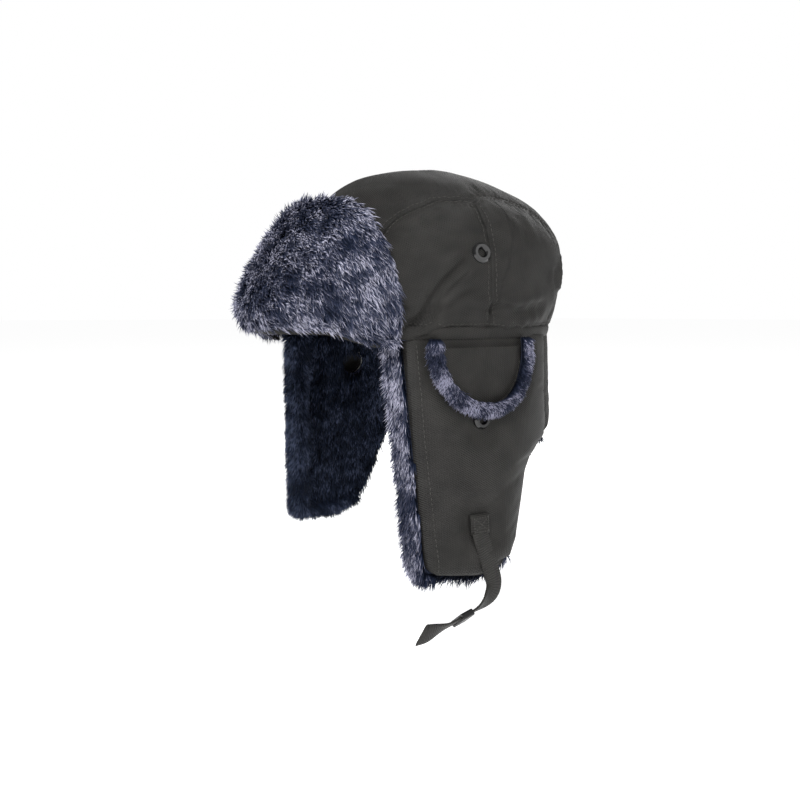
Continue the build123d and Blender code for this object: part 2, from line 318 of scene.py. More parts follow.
def makePlain(name, dark, light, roughness, scale, coat=0.0, strength=0.15):
    # a hard or matt surface with fine grain and slightly uneven colour
    material, tree, shader = newMaterial(name, roughness, 0.35, coat)
    place = addNode(tree, "ShaderNodeTexCoord").outputs["Object"]
    inputs = {"Vector": place, "Scale": scale, "Detail": 4.0}
    grain = addNode(tree, "ShaderNodeTexNoise", inputs).outputs["Fac"]
    tree.links.new(ramp(tree, grain, [(0.3, dark), (0.7, light)]), shader.inputs["Base Color"])
    bump(tree, shader, grain, strength, 0.0002)
    return material


shellCloth = makeCloth("shellCloth", (0.0048, 0.0045, 0.0041), (0.0165, 0.0156, 0.0142), 0.0015, 0.65, 0.6)
webbingCloth = makeCloth("webbingCloth", (0.007, 0.0066, 0.006), (0.022, 0.021, 0.019), 0.0016, 0.0, 0.8)
liningCloth = makeCloth("liningCloth", (0.004, 0.005, 0.009), (0.012, 0.014, 0.022), 0.0008, 0.4, 0.3)
furPale = makeFur("visorFur", (0.0015, 0.003, 0.009), (0.006, 0.011, 0.028), (0.40, 0.40, 0.50), (0.060, 0.066, 0.105))
furDark = makeFur("flapFur", (0.001, 0.0022, 0.006), (0.0025, 0.005, 0.013), (0.06, 0.075, 0.125), (0.01, 0.016, 0.034))
furTrim = makeFur("trimFur", (0.0015, 0.003, 0.008), (0.004, 0.007, 0.018), (0.30, 0.30, 0.40), (0.035, 0.04, 0.07))
pileBacking = makePlain("pileBacking", (0.004, 0.006, 0.014), (0.012, 0.018, 0.04), 0.9, 400.0)
waddingFluff = makePlain("waddingFluff", (0.6, 0.59, 0.56), (0.75, 0.74, 0.7), 0.95, 300.0)
snapEnamel = makePlain("snapEnamel", (0.002, 0.002, 0.0022), (0.005, 0.005, 0.0055), 0.14, 900.0, 0.35, 0.05)
bucklePlastic = makePlain("bucklePlastic", (0.002, 0.002, 0.0022), (0.006, 0.006, 0.0065), 0.3, 1500.0, 0.0, 0.2)
threadCotton = makePlain("threadCotton", (0.022, 0.021, 0.019), (0.05, 0.048, 0.045), 0.75, 2500.0)
print("materials made")


# surfaces that the pieces follow
def crownRing(height):
    # half width, half length and setback of the crown at a height, on a smooth curve
    rings = hat["crownRings"]
    index = 0
    while index < len(rings) - 2 and height > rings[index + 1][0]:
        index += 1
    low, high = rings[index], rings[index + 1]
    before = rings[max(index - 1, 0)]
    after = rings[min(index + 2, len(rings) - 1)]
    step = min(max((height - low[0]) / (high[0] - low[0]), 0.0), 1.0)
    values = []
    for k in (1, 2, 3):
        gap = high[0] - low[0]
        slopeLow = (high[k] - before[k]) / (high[0] - before[0]) * gap
        slopeHigh = (after[k] - low[k]) / (after[0] - low[0]) * gap
        a = 2 * step**3 - 3 * step**2 + 1
        b = step**3 - 2 * step**2 + step
        c = -2 * step**3 + 3 * step**2
        d = step**3 - step**2
        values.append(a * low[k] + b * slopeLow + c * high[k] + d * slopeHigh)
    return values


def crownPoint(angle, height, lift=0.0):
    top = hat["crownRings"][-1][0]
    wide, long, back = crownRing(min(height, top))
    grow = 1.0 + lift / top if height > 0 else 1.0
    x = (wide + lift) * cos(angle)
    y = back + (long + lift) * sin(angle)
    return Vector((x, y, height * grow))


def skirtPoint(y, z, inset, side):
    share = (hat["skirtTop"] - z) / hat["skirtDepth"]
    wide = hat["rimHalfWidth"] + share * (hat["skirtBottomHalfWidth"] - hat["rimHalfWidth"]) - inset
    long = hat["rimHalfLength"] + share * (hat["skirtBottomHalfLength"] - hat["rimHalfLength"]) - inset
    return Vector((side * wide * sqrt(max(1 - (y / long) ** 2, 0.0)), y, z))


def meshPiece(name, points, faces, material, weave=None):
    # a new object at the origin from points and faces, with its weave map in metres
    mesh = bpy.data.meshes.new(name)
    mesh.from_pydata([tuple(p) for p in points], [], faces)
    mesh.update()
    if weave is not None:
        layer = mesh.uv_layers.new(name="weave")
        for loop in mesh.loops:
            layer.data[loop.index].uv = weave[loop.vertex_index]
    mesh.materials.append(material)
    return smooth(addObject(name, mesh))


def gridFaces(rows, columns, loop=False, closed=False):
    # loop joins the last column to the first, closed the last row to the first
    faces = []
    for i in range(rows if closed else rows - 1):
        here, below = i * columns, (i + 1) % rows * columns
        for j in range(columns if loop else columns - 1):
            k = (j + 1) % columns
            faces.append((here + j, here + k, below + k, below + j))
    return faces


def closeDome(points, faces, columns, pole):
    # a point on top of a round grid, joined to its last row
    last, top = len(points) - columns, len(points)
    points.append(pole)
    faces += [(last + j, last + (j + 1) % columns, top) for j in range(columns)]


def applied(piece):
    # turns the piece's live modifiers into plain mesh
    mesh = liveMesh(piece)
    old = piece.data
    piece.modifiers.clear()
    piece.data = mesh
    mesh.name = piece.name
    bpy.data.meshes.remove(old)
    return piece


def thicken(piece, thickness, offset=-1.0):
    wall = piece.modifiers.new("wall", "SOLIDIFY")
    setAll(wall, {"thickness": thickness, "offset": offset, "use_rim": True, "use_even_offset": False})
    return applied(piece)


def soften(piece):
    softer = piece.modifiers.new("soft", "SUBSURF")
    setAll(softer, {"levels": 1, "render_levels": 1})
    return applied(piece)


def outwards(piece):
    # merges doubles and points every face outwards
    work = bmesh.new()
    work.from_mesh(piece.data)
    bmesh.ops.remove_doubles(work, verts=work.verts, dist=0.00001)
    bmesh.ops.recalc_face_normals(work, faces=work.faces)
    work.to_mesh(piece.data)
    work.free()
    return smooth(piece)


def wallOf(name, grid, material, thickness, offset=-1.0):
    # a grid given a wall, with its faces outwards
    points, faces, weave = grid[:3]
    return outwards(thicken(meshPiece(name, points, faces, material, weave), thickness, offset))


def openEdge(piece):
    work = bmesh.new()
    work.from_mesh(piece.data)
    found = [v.index for v in work.verts if v.is_boundary]
    work.free()
    return found


def settle(piece, held, look):
    # lets cloth take its own creases: held at its seams, a little slack, blown out from inside
    piece.vertex_groups.new(name="held").add(held, 1.0, "REPLACE")
    start = np.empty(len(piece.data.vertices) * 3)
    piece.data.vertices.foreach_get("co", start)
    cloth = piece.modifiers.new("cloth", "CLOTH")
    settings = {
        "quality": 5,
        "mass": 0.02,
        "vertex_group_mass": "held",
        "shrink_min": -look["creaseSlack"],
        "use_pressure": True,
        "uniform_pressure_force": look["pressure"],
        "tension_stiffness": 25,
        "compression_stiffness": 25,
        "shear_stiffness": 8,
        "bending_stiffness": 0.4,
    }
    setAll(cloth.settings, settings)
    cloth.settings.effector_weights.gravity = 0
    cloth.collision_settings.use_collision = False
    scene = bpy.context.scene
    for step in range(1, look["frames"] + 1):
        scene.frame_set(step)
    graph = bpy.context.evaluated_depsgraph_get()
    end = np.empty_like(start)
    piece.evaluated_get(graph).data.vertices.foreach_get("co", end)
    move = (end - start).reshape(-1, 3)
    size = np.linalg.norm(move, axis=1, keepdims=True)
    # no point moves further than the cap
    cap = look["creaseCap"]
    soft = cap * np.tanh(size / cap)
    move = move * np.where(size > 1e-9, soft / np.maximum(size, 1e-9), 0)
    piece.modifiers.clear()
    piece.vertex_groups.clear()
    piece.data.vertices.foreach_set("co", start + move.ravel())
    piece.data.update()
    scene.frame_set(1)
    print("  settled", piece.name, "largest move in mm", round(float(size.max()) * 1000, 1))


def smoothstep(low, high, value):
    t = min(max((value - low) / (high - low), 0.0), 1.0)
    return t * t * (3 - 2 * t)


def bell(far):
    # 1 at nothing, falling off to both sides
    return pow(2.718, -(far**2))


# tufts of pile, grown by Geometry Nodes over a bare surface
def makeTuft():
    # one tapered, bent tuft: three sides, closed at the root and the tip
    rings = [(0.0, 0.0, 1.0), (0.38, 0.4, 0.85), (0.72, 1.4, 0.5)]
    tipHeight, tipLean = 0.97, 2.8
    points = []
    along = []
    for height, lean, width in rings:
        for k in range(3):
            angle = 2 * pi * k / 3
            points.append((lean + width * 0.5 * cos(angle), width * 0.5 * sin(angle), height))
            along.append(height)
    faces = [(2, 1, 0)] + gridFaces(3, 3, loop=True)
    closeDome(points, faces, 3, (tipLean, 0, tipHeight))
    along.append(1.0)
    mesh = bpy.data.meshes.new("tuft")
    mesh.from_pydata(points, [], faces)
    layer = mesh.attributes.new("along", "FLOAT", "POINT")
    layer.data.foreach_set("value", along)
    return smooth(addObject("tuft", mesh))


tuft = makeTuft()


def finishTree(tree, made, material, out):
    whole = addNode(tree, "GeometryNodeRealizeInstances", {0: made}).outputs[0]
    paint = addNode(tree, "GeometryNodeSetMaterial", {"Geometry": whole, "Material": material})
    tree.links.new(paint.outputs[0], out.inputs["Geometry"])
    return tree


def makeFurTree():
    # sows tufts on a surface and combs them along its comb attribute
    inputs = [
        ("Geometry", "NodeSocketGeometry", None),
        ("Density", "NodeSocketFloat", 500000.0),
        ("Length", "NodeSocketFloat", 0.010),
        ("Width", "NodeSocketFloat", 0.0011),
        ("Rise", "NodeSocketFloat", 0.6),
        ("Wander", "NodeSocketFloat", 0.8),
        ("Clump scale", "NodeSocketFloat", 120.0),
        ("Seed", "NodeSocketInt", 1),
        ("Material", "NodeSocketMaterial", None),
    ]
    outputs = [("Geometry", "NodeSocketGeometry")]
    tree, inside, out = newGroup("sowTufts", inputs, outputs, "GeometryNodeTree")
    surface, density, length, width, rise, wander, clumpScale, seed, material = inside.outputs[:9]

    def vectorMath(operation, first, second, label=1):
        return addNode(tree, "ShaderNodeVectorMath", {0: first, label: second}, operation=operation).outputs[0]

    def chance(low, high, chosenSeed):
        # a random vector, or a random number
        vector = isinstance(low, tuple)
        first = 0 if vector else 2
        kind = "FLOAT_VECTOR" if vector else "FLOAT"
        inputs = {first: low, first + 1: high, "Seed": chosenSeed}
        return addNode(tree, "FunctionNodeRandomValue", inputs, data_type=kind).outputs[0 if vector else 1]

    sow = addNode(
        tree, "GeometryNodeDistributePointsOnFaces", {"Mesh": surface, "Density": density, "Seed": seed}
    ).outputs
    comb = addNode(tree, "GeometryNodeInputNamedAttribute", {"Name": "comb"}, data_type="FLOAT_VECTOR")
    comb = comb.outputs["Attribute"]
    place = addNode(tree, "GeometryNodeInputPosition").outputs[0]
    clump = addNode(tree, "ShaderNodeTexNoise", {"Vector": place, "Scale": clumpScale, "Detail": 1.0})
    clumpTurn = vectorMath("SUBTRACT", clump.outputs["Color"], (0.5, 0.5, 0.5))
    lift = vectorMath("SCALE", sow["Normal"], rise, "Scale")
    turned = vectorMath("SCALE", clumpTurn, wander, "Scale")
    stray = chance((-0.22, -0.22, -0.22), (0.22, 0.22, 0.22), seed)
    direction = vectorMath("ADD", lift, comb)
    direction = vectorMath("ADD", direction, turned)
    direction = vectorMath("ADD", direction, stray)
    align = "FunctionNodeAlignRotationToVector"
    upright = addNode(tree, align, {"Vector": direction}, axis="Z").outputs[0]
    bent = addNode(tree, align, {"Rotation": upright, "Vector": comb}, axis="X", pivot_axis="Z").outputs[0]
    spin = addNode(tree, "FunctionNodeEulerToRotation", {0: chance((0, 0, -0.9), (0, 0, 0.9), seed)}).outputs[0]
    turn = addNode(tree, "FunctionNodeRotateRotation", {0: bent, 1: spin}, rotation_space="LOCAL").outputs[0]
    tall = mathNode(tree, "MULTIPLY", chance(0.65, 1.15, seed), length)
    size = addNode(tree, "ShaderNodeCombineXYZ", {0: width, 1: width, 2: tall}).outputs[0]
    source = addNode(tree, "GeometryNodeObjectInfo", {"Object": tuft}).outputs["Geometry"]
    inputs = {"Points": sow["Points"], "Instance": source, "Rotation": turn, "Scale": size}
    planted = addNode(tree, "GeometryNodeInstanceOnPoints", inputs).outputs[0]
    inputs = {"Geometry": planted, "Name": "tint", "Value": chance(0.0, 1.0, 7)}
    store = addNode(tree, "GeometryNodeStoreNamedAttribute", inputs, data_type="FLOAT", domain="INSTANCE")
    return finishTree(tree, store.outputs[0], material, out)


furTree = makeFurTree()


def setInput(modifier, label, value):
    for item in modifier.node_group.interface.items_tree:
        if item.item_type == "SOCKET" and item.in_out == "INPUT" and item.name == label:
            modifier[item.identifier] = value
            return
    raise KeyError(label)


def growFur(name, ground, keepFace, combAt, fur, material):
    # tufts over the faces of ground that keepFace accepts, combed by combAt
    work = bmesh.new()
    work.from_mesh(ground.data)
    work.faces.ensure_lookup_table()
    bare = [f for f in work.faces if not keepFace(f.calc_center_median(), f.normal)]
    bmesh.ops.delete(work, geom=bare, context="FACES")
    mesh = bpy.data.meshes.new(name)
    work.to_mesh(mesh)
    work.free()
    area = sum(polygon.area for polygon in mesh.polygons)
    comb = mesh.attributes.new("comb", "FLOAT_VECTOR", "POINT")
    flat = []
    for vertex in mesh.vertices:
        way = combAt(vertex.co, vertex.normal)
        flat.extend(way - vertex.normal * way.dot(vertex.normal))
    comb.data.foreach_set("vector", flat)
    soil = addObject(name + "Soil", mesh)
    sower = soil.modifiers.new("sow", "NODES")
    sower.node_group = furTree
    setInput(sower, "Density", fur["count"] * 1.0 / area)
    for label in ("Length", "Width", "Rise", "Wander", "Clump scale", "Seed"):
        setInput(sower, label, fur[label])
    setInput(sower, "Material", material)
    soil.update_tag()
    grown = liveMesh(soil)
    grown.name = name
    bpy.data.objects.remove(soil)
    bpy.data.meshes.remove(mesh)
    if not grown.materials:
        grown.materials.append(material)
    print("  ", name, len(grown.polygons), "faces")
    return addObject(name, grown)


def rideOn(piece, body, slot, *nodes, fill=None):
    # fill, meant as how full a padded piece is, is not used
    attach(piece, body)
    if nodes:
        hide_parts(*nodes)
    return piece


# crown: five cloth panels over the wadding
crown = {
    "angleSteps": 250,
    "rowPitch": 0.0027,
    "seamDepth": 0.0011,
    "seamWidth": 0.0032,
    "puff": 0.0006,
    "snap": (0.098, -0.008, 0.054),
    "creaseCap": 0.0042,
    "creaseSlack": 0.026,
    "pressure": 160.0,
    "frames": 22,
    "sink": 0.0014,
    "creases": 0.0020,
    # folds on each side: from (y, z) to (y, z), depth, width
    "folds": [
        (-0.054, 0.011, -0.013, 0.052, 0.0046, 0.0034),
        (-0.050, 0.009, -0.004, 0.021, 0.0026, 0.0030),
        (-0.048, 0.011, -0.003, 0.034, 0.0026, 0.0032),
        (0.002, 0.019, 0.062, 0.015, 0.0030, 0.0034),
        (0.030, 0.084, 0.034, 0.060, 0.0013, 0.0040),
        (0.070, 0.050, 0.080, 0.020, 0.0030, 0.0040),
        (0.086, 0.060, 0.094, 0.030, 0.0026, 0.0036),
        (-0.030, 0.080, -0.044, 0.062, 0.0013, 0.0040),
    ],
}


def raiseBrow(piece):
    # the rim arches up a little over the brow
    for vertex in piece.data.vertices:
        ahead = 1 - smoothstep(-0.112, -0.075, vertex.co.y)
        vertex.co.z += hat["browRise"] * ahead * (1 - smoothstep(0.0, 0.03, vertex.co.z))
    return piece


def seamReach(y):
    # how far out the long seam runs at a place from front to back
    stops = hat["seamPath"]
    for (y0, x0), (y1, x1) in zip(stops, stops[1:]):
        if y <= y1:
            return x0 + (x1 - x0) * smoothstep(y0, y1, y)
    return stops[-1][1]


def seamDistance(point):
    # how far a point on the crown is from the nearest panel seam
    reach = seamReach(point.y)
    # the crown leans here, so the way along the cloth is longer than the step in x
    strip = abs(abs(point.x) - reach) * 1.35
    if abs(point.x) > reach:
        return min(strip, abs(point.y))
    return strip


def foldDepth(place):
    # how deep the drawn folds cut in at a place on the side of the crown
    deep = 0.0
    for y0, z0, y1, z1, depth, width in crown["folds"]:
        dy, dz = y1 - y0, z1 - z0
        t = ((place.y - y0) * dy + (place.z - z0) * dz) / (dy * dy + dz * dz)
        t = min(max(t, 0.0), 1.0)
        bend = 0.003 * sin(t * 5.0 + y0 * 200)
        far = sqrt((place.y - y0 - dy * t) ** 2 + (place.z - z0 - dz * t + bend) ** 2)
        if width > 0.0034:
            taper = smoothstep(0.0, 0.2, t) * (1 - smoothstep(0.7, 1.0, t))
        else:
            taper = 1 - smoothstep(0.75, 1.0, t)
        # a valley with a low ridge beside it
        deep += depth * taper * (bell(far / width) - 0.55 * bell((far - 2.2 * width) / width))
    return deep * smoothstep(0.045, 0.070, abs(place.x))


def makeCrownSkin():
    top = hat["crownRings"][-1][0]
    heights = [0.0]
    # rows as even as they can be over the curve
    fine = [top * (1 - (1 - k / 400) ** 2.0) for k in range(401)]
    travelled = 0.0
    last = crownPoint(pi / 2, fine[0])
    for height in fine[1:]:
        here = crownPoint(pi / 2, height)
        travelled += (here - last).length
        last = here
        if travelled >= crown["rowPitch"] and height < top - 0.0004:
            heights.append(height)
            travelled = 0.0
    columns = crown["angleSteps"]
    points = []
    weave = []
    held = []
    for i, height in enumerate(heights):
        for j in range(columns):
            angle = 2 * pi * j / columns
            point = crownPoint(angle, height)
            outward = Vector((point.x, point.y - 0.01, point.z * 0.9)).normalized()
            away = seamDistance(point)
            groove = crown["seamDepth"] * bell(away / crown["seamWidth"])
            puff = crown["puff"] * smoothstep(0.0, 0.02, away) * smoothstep(0.0, 0.02, point.z)
            point = point + outward * (puff - groove)
            if away < 0.0022 or i == 0 or i == 1:
                held.append(len(points))
            points.append(point)
            weave.append((angle * 0.1, height * 1.3))
    faces = gridFaces(len(heights), columns, loop=True)
    closeDome(points, faces, columns, crownPoint(0, top))
    weave.append((0, top * 1.3))
    skin = meshPiece("crownSkin", points, faces, shellCloth, weave)
    base = [Vector(point) for point in points]
    settle(skin, held, crown)
    # soft folds: a long diagonal one on each side, gathers low at the back
    for vertex in skin.data.vertices:
        place = vertex.co
        away = seamDistance(place)
        calm = smoothstep(0.0, 0.012, away)
        low = 1 - smoothstep(0.0, 0.045, place.z)
        around = np.arctan2(place.y, abs(place.x))
        gather = sin(around * 46 + 2.2 * noise.noise(place * 60)) * low * smoothstep(0.0, 0.006, place.z)
        wave = noise.noise(Vector((place.x * 22, place.y * 22, place.z * 38)))
        fold = noise.noise(Vector((place.y * 30 + place.z * 34, place.z * 12 - place.y * 10, place.x * 9)))
        push = crown["creases"] * calm * (0.55 * wave + 0.8 * abs(fold)) + 0.0006 * gather * calm
        push -= foldDepth(place) + ((crown["sink"] * calm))
        moved = place + vertex.normal * push
        first = base[vertex.index]
        off = (Vector((abs(first.x), first.y, first.z)) - Vector(crown["snap"])).length
        vertex.co = first.lerp(moved, smoothstep(0.007, 0.017, off))
    return raiseBrow(skin)


def cutPanel(skin, name, cuts):
    # a copy of the crown skin kept on one side of each cutting plane
    work = bmesh.new()
    work.from_mesh(skin.data)
    straight = hat["stripHalfWidth"]
    for vertex in work.verts:
        vertex.co.x *= straight / seamReach(vertex.co.y)
    for place, normal in cuts:
        geometry = work.verts[:] + work.edges[:] + work.faces[:]
        bmesh.ops.bisect_plane(work, geom=geometry, plane_co=place, plane_no=normal, clear_outer=True)
    for vertex in work.verts:
        vertex.co.x *= seamReach(vertex.co.y) / straight
    mesh = bpy.data.meshes.new(name)
    work.to_mesh(mesh)
    work.free()
    mesh.materials.append(shellCloth)
    return thicken(smooth(addObject(name, mesh)), hat["clothThickness"])


def makeCrownPanels(skin):
    reach = hat["stripHalfWidth"]
    panels = {"crown_center_panel": [((reach, 0, 0), (1, 0, 0)), ((-reach, 0, 0), (-1, 0, 0))]}
    for sideName, side in (("left", 1), ("right", -1)):
        for end, way in (("front", 1), ("back", -1)):
            cuts = [((side * reach, 0, 0), (-side, 0, 0)), ((0, 0, 0), (0, way, 0))]
            panels[f"crown_side_{end}_{sideName}"] = cuts
    for node, cuts in panels.items():
        piece = cutPanel(skin, node + "_cloth", cuts)
        rideOn(piece, "crown", "shell_cloth", node, fill=0.5)


print("crown")
crownSkin = makeCrownSkin()
crownTree = BVHTree.FromObject(crownSkin, bpy.context.evaluated_depsgraph_get())
makeCrownPanels(crownSkin)


# stitches: short thread capsules set along a line by Geometry Nodes
def makeStitchTree():
    inputs = [
        ("Geometry", "NodeSocketGeometry", None),
        ("Pitch", "NodeSocketFloat", 0.0034),
        ("Length", "NodeSocketFloat", 0.0024),
        ("Thickness", "NodeSocketFloat", 0.00055),
        ("Material", "NodeSocketMaterial", None),
    ]
    outputs = [("Geometry", "NodeSocketGeometry")]
    tree, inside, out = newGroup("sewLine", inputs, outputs, "GeometryNodeTree")
    line, pitch, length, thickness, material = inside.outputs[:5]
    spread = addNode(tree, "GeometryNodeCurveToPoints", {"Curve": line, "Length": pitch}, mode="LENGTH").outputs
    bead = addNode(tree, "GeometryNodeMeshUVSphere", {"Segments": 6, "Rings": 5, "Radius": 0.5}).outputs["Mesh"]
    aim = addNode(tree, "FunctionNodeAlignRotationToVector", {"Vector": spread["Tangent"]}, axis="Z").outputs[0]
    size = addNode(tree, "ShaderNodeCombineXYZ", {0: thickness, 1: thickness, 2: length}).outputs[0]
    inputs = {"Points": spread["Points"], "Instance": bead, "Rotation": aim, "Scale": size}
    plant = addNode(tree, "GeometryNodeInstanceOnPoints", inputs)
    return finishTree(tree, plant.outputs[0], material, out)


stitchTree = makeStitchTree()


def curveThrough(name, kind, places):
    data = bpy.data.curves.new(name, "CURVE")
    data.dimensions = "3D"
    for line in places:
        spline = data.splines.new(kind)
        spline.points.add(len(line) - 1)
        for knot, place in zip(spline.points, line):
            knot.co = (*place, 1)
    return data


def sewLines(name, lines, tree=None, lift=0.0002, pitch=0.0034, length=0.0025):
    # rows of stitches along lines of points, each point first laid on the surface when one is given
    laid = []
    for line in lines:
        row = []
        for point in line:
            point = Vector(point)
            if tree:
                spot, normal, _, _ = tree.find_nearest(point)
                point = spot + normal * lift
            row.append(point)
        laid.append(row)
    data = curveThrough(name, "POLY", laid)
    path = addObject(name + "Path", data)
    sewer = path.modifiers.new("sew", "NODES")
    sewer.node_group = stitchTree
    inputs = {"Pitch": pitch, "Length": length, "Thickness": 0.0006, "Material": threadCotton}
    for label, value in inputs.items():
        setInput(sewer, label, value)
    mesh = liveMesh(path)
    bpy.data.objects.remove(path)
    bpy.data.curves.remove(data)
    if not mesh.materials:
        mesh.materials.append(threadCotton)
    return smooth(addObject(name, mesh))


def crownSeamLines():
    # topstitching on both sides of each seam of the crown
    beside = 0.0032
    lines = []
    for side in (1, -1):
        for step in (-beside, beside):
            line = []
            for k in range(61):
                y = -0.092 + 0.180 * k / 60
                line.append((side * (seamReach(y) + step * 0.75), y, 0.140))
            laid = []
            for x0, y0, z0 in line:
                hit = crownTree.ray_cast(Vector((x0, y0, z0)), Vector((0, 0, -1)))
                if hit[0] is not None and hit[0].z > 0.008:
                    laid.append(tuple(hit[0]))
            lines.append(laid)
        for step in (-beside, beside):
            line = []
            for k in range(48):
                z = 0.009 + 0.098 * k / 47
                hit = crownTree.ray_cast(Vector((side * 0.2, step, z)), Vector((-side, 0, 0)))
                if hit[0] is not None and abs(hit[0].x) > seamReach(0.0) + 0.003:
                    line.append(tuple(hit[0]))
            lines.append(line)
    return lines


rideOn(sewLines("crown_topstitch", crownSeamLines(), crownTree), "crown", "shell_cloth")


# rim band: a narrow folded band over the seam between crown and flaps
def makeRimBand():
    band = {"low": -0.0022, "high": 0.0068, "proud": 0.0019, "columns": 300, "waver": 0.0005}
    profile = [(0.0, 0.0), (0.45, 0.06), (0.85, 0.22), (1.0, 0.5), (0.85, 0.78), (0.45, 0.94), (0.0, 1.0)]
    profile += [(-0.5, 0.85), (-0.5, 0.15)]
    points = []
    weave = []
    for out, up in profile:
        for j in range(band["columns"]):
            angle = 2 * pi * j / band["columns"]
            height = band["low"] + (band["high"] - band["low"]) * up
            point = crownPoint(angle, max(height, 0.0))
            point.z = height
            outward = Vector((cos(angle) / hat["rimHalfWidth"], sin(angle) / hat["rimHalfLength"], 0)).normalized()
            waver = band["waver"] * noise.noise(point * 70)
            points.append(point + outward * (band["proud"] * out + waver) + Vector((0, 0, waver)))
            weave.append((angle * 0.1, up * 0.012))
    faces = gridFaces(len(profile), band["columns"], loop=True, closed=True)
    piece = soften(meshPiece("rim_band_cloth", points, faces, shellCloth, weave))
    rideOn(raiseBrow(outwards(piece)), "crown", "shell_cloth", "rim_band")
    line = []
    for j in range(241):
        angle = 2 * pi * j / 240
        point = crownPoint(angle, 0.0085)
        point.z += hat["browRise"] * (1 - smoothstep(-0.112, -0.075, point.y))
        line.append(tuple(point))
    rideOn(sewLines("rim_topstitch", [line], crownTree), "crown", "shell_cloth")


makeRimBand()


# crown lining: soft dome, quilted in diamonds, open below
def makeLining():
    lining = {"inset": 0.0046, "thickness": 0.0024, "columns": 160, "rows": 46, "diamond": 0.024, "tuck": 0.0014}
    top = hat["crownRings"][-1][0]
    points = []
    weave = []
    for i in range(lining["rows"]):
        share = 1 - (1 - i / (lining["rows"] - 1)) ** 1.7
        height = top * share * 0.995
        for j in range(lining["columns"]):
            angle = 2 * pi * j / lining["columns"]
            point = crownPoint(angle, height, -lining["inset"])
            s = angle * 0.1
            t = i * 0.0036
            first = abs(((s + t) / lining["diamond"]) % 1.0 - 0.5)
            second = abs(((s - t) / lining["diamond"]) % 1.0 - 0.5)
            seam = bell(min(first, second) / 0.09) * smoothstep(0, 4, lining["rows"] - 4 - i)
            inward = Vector((-point.x, -(point.y - 0.01), -point.z * 0.6)).normalized()
            points.append(point + inward * (lining["tuck"] * (1 - seam)))
            weave.append((s, t))
    faces = gridFaces(lining["rows"], lining["columns"], loop=True)
    closeDome(points, faces, lining["columns"], crownPoint(0, top, -lining["inset"]) - Vector((0, 0, 0.001)))
    weave.append((0, 0.2))
    piece = meshPiece("crown_lining_quilt", points, faces, liningCloth, weave)
    raiseBrow(soften(thicken(piece, lining["thickness"])))
    rideOn(piece, "crown", "lining", "crown_lining", fill=0.4)


makeLining()


def makeWadding():
    # the wadding between cloth and lining, a thin even dome
    wadding = {"inset": 0.0043, "thickness": 0.0004, "columns": 120, "rows": 40}
    top = hat["crownRings"][-1][0]
    points = []
    for i in range(wadding["rows"]):
        height = 0.002 + (top * 0.992 - 0.002) * (1 - (1 - i / (wadding["rows"] - 1)) ** 1.7)
        for j in range(wadding["columns"]):
            points.append(crownPoint(2 * pi * j / wadding["columns"], height, -wadding["inset"]))
    faces = gridFaces(wadding["rows"], wadding["columns"], loop=True)
    closeDome(points, faces, wadding["columns"], crownPoint(0, top, -wadding["inset"]) - Vector((0, 0, 0.0006)))
    piece = meshPiece("crown_wadding", points, faces, waddingFluff)
    raiseBrow(thicken(piece, wadding["thickness"]))
    rideOn(piece, "crown", "wadding", "crown_padding", fill=0.4)


makeWadding()


# flaps
flap = {
    "pitch": 0.0026,
    "frontTopY": -0.058,
    "frontBottomY": -0.050,
    "bottomFrontZ": -0.156,
    "bottomRearZ": -0.160,
    # how far back the rear edge is at each height
    "rearEdge": [
        (0.002, 0.0802),
        (-0.066, 0.0800),
        (-0.0745, 0.0735),
        (-0.080, 0.0590),
        (-0.0865, 0.0450),
        (-0.096, 0.0365),
        (-0.122, 0.0278),
        (-0.140, 0.0218),
        (-0.150, 0.0140),
        (-0.156, 0.0020),
        (-0.1595, -0.0120),
    ],
    "frontCorner": 0.009,
    "edgeRound": 0.006,
    "edgeTuck": 0.0030,
    "swellReach": 0.02,
    "swell": 0.0012,
    "ripple": 0.0006,
    "clothInset": -0.0002,
    "clothWall": 0.0010,
    "pileInset": 0.0048,
    "pileWall": 0.0036,
    "rollAhead": 0.0045,
    "holeY": 0.004,
    "holeZ": -0.027,
    "holeRadius": 0.0105,
    "creaseCap": 0.0030,
    "creaseSlack": 0.014,
    "pressure": 160.0,
    "frames": 18,
    "blendStart": -0.001,
    "blendEnd": -0.027,
}


cover = {
    "middleY": -0.0035,
    "topZ": -0.007,
    "halfWidth": 0.0365,
    "depth": 0.040,
    "gap": 0.0008,
    "trimWidth": 0.0072,
    "trimBase": 0.0018,
    "trimRise": 0.0005,
    "snapY": -0.008,
    "snapZ": -0.055,
}


def calmAt(y, z):
    # 0 where a cover, snap or patch lies on the flap, so its cloth stays flat, 1 well clear of them
    across = (y - cover["middleY"]) / (cover["halfWidth"] + 0.006)
    down = (z - cover["topZ"]) / (cover["depth"] + 0.004)
    under = (sqrt(across**2 + down**2) - 1) * 0.035
    snap = sqrt((y - cover["snapY"]) ** 2 + (z - cover["snapZ"]) ** 2) - 0.008
    patch = max(abs(y + 0.014) - 0.009, abs(z + 0.124) - 0.009)
    return smoothstep(0.0, 0.012, min(under, snap, patch))


def rearEdgeAt(z):
    stops = flap["rearEdge"]
    for (high, yHigh), (low, yLow) in zip(stops, stops[1:]):
        if z >= low:
            t = (high - z) / (high - low)
            return yHigh + (yLow - yHigh) * t
    return stops[-1][1]


def frontEdgeAt(z):
    bottom = flap["rearEdge"][-1][0]
    t = (hat["skirtTop"] - z) / (hat["skirtTop"] - bottom)
    y = flap["frontTopY"] + (flap["frontBottomY"] - flap["frontTopY"]) * t
    radius = flap["frontCorner"]
    near = z - bottom
    if near < radius:
        y += radius - sqrt(max(radius**2 - (radius - near) ** 2, 0.0))
    return y


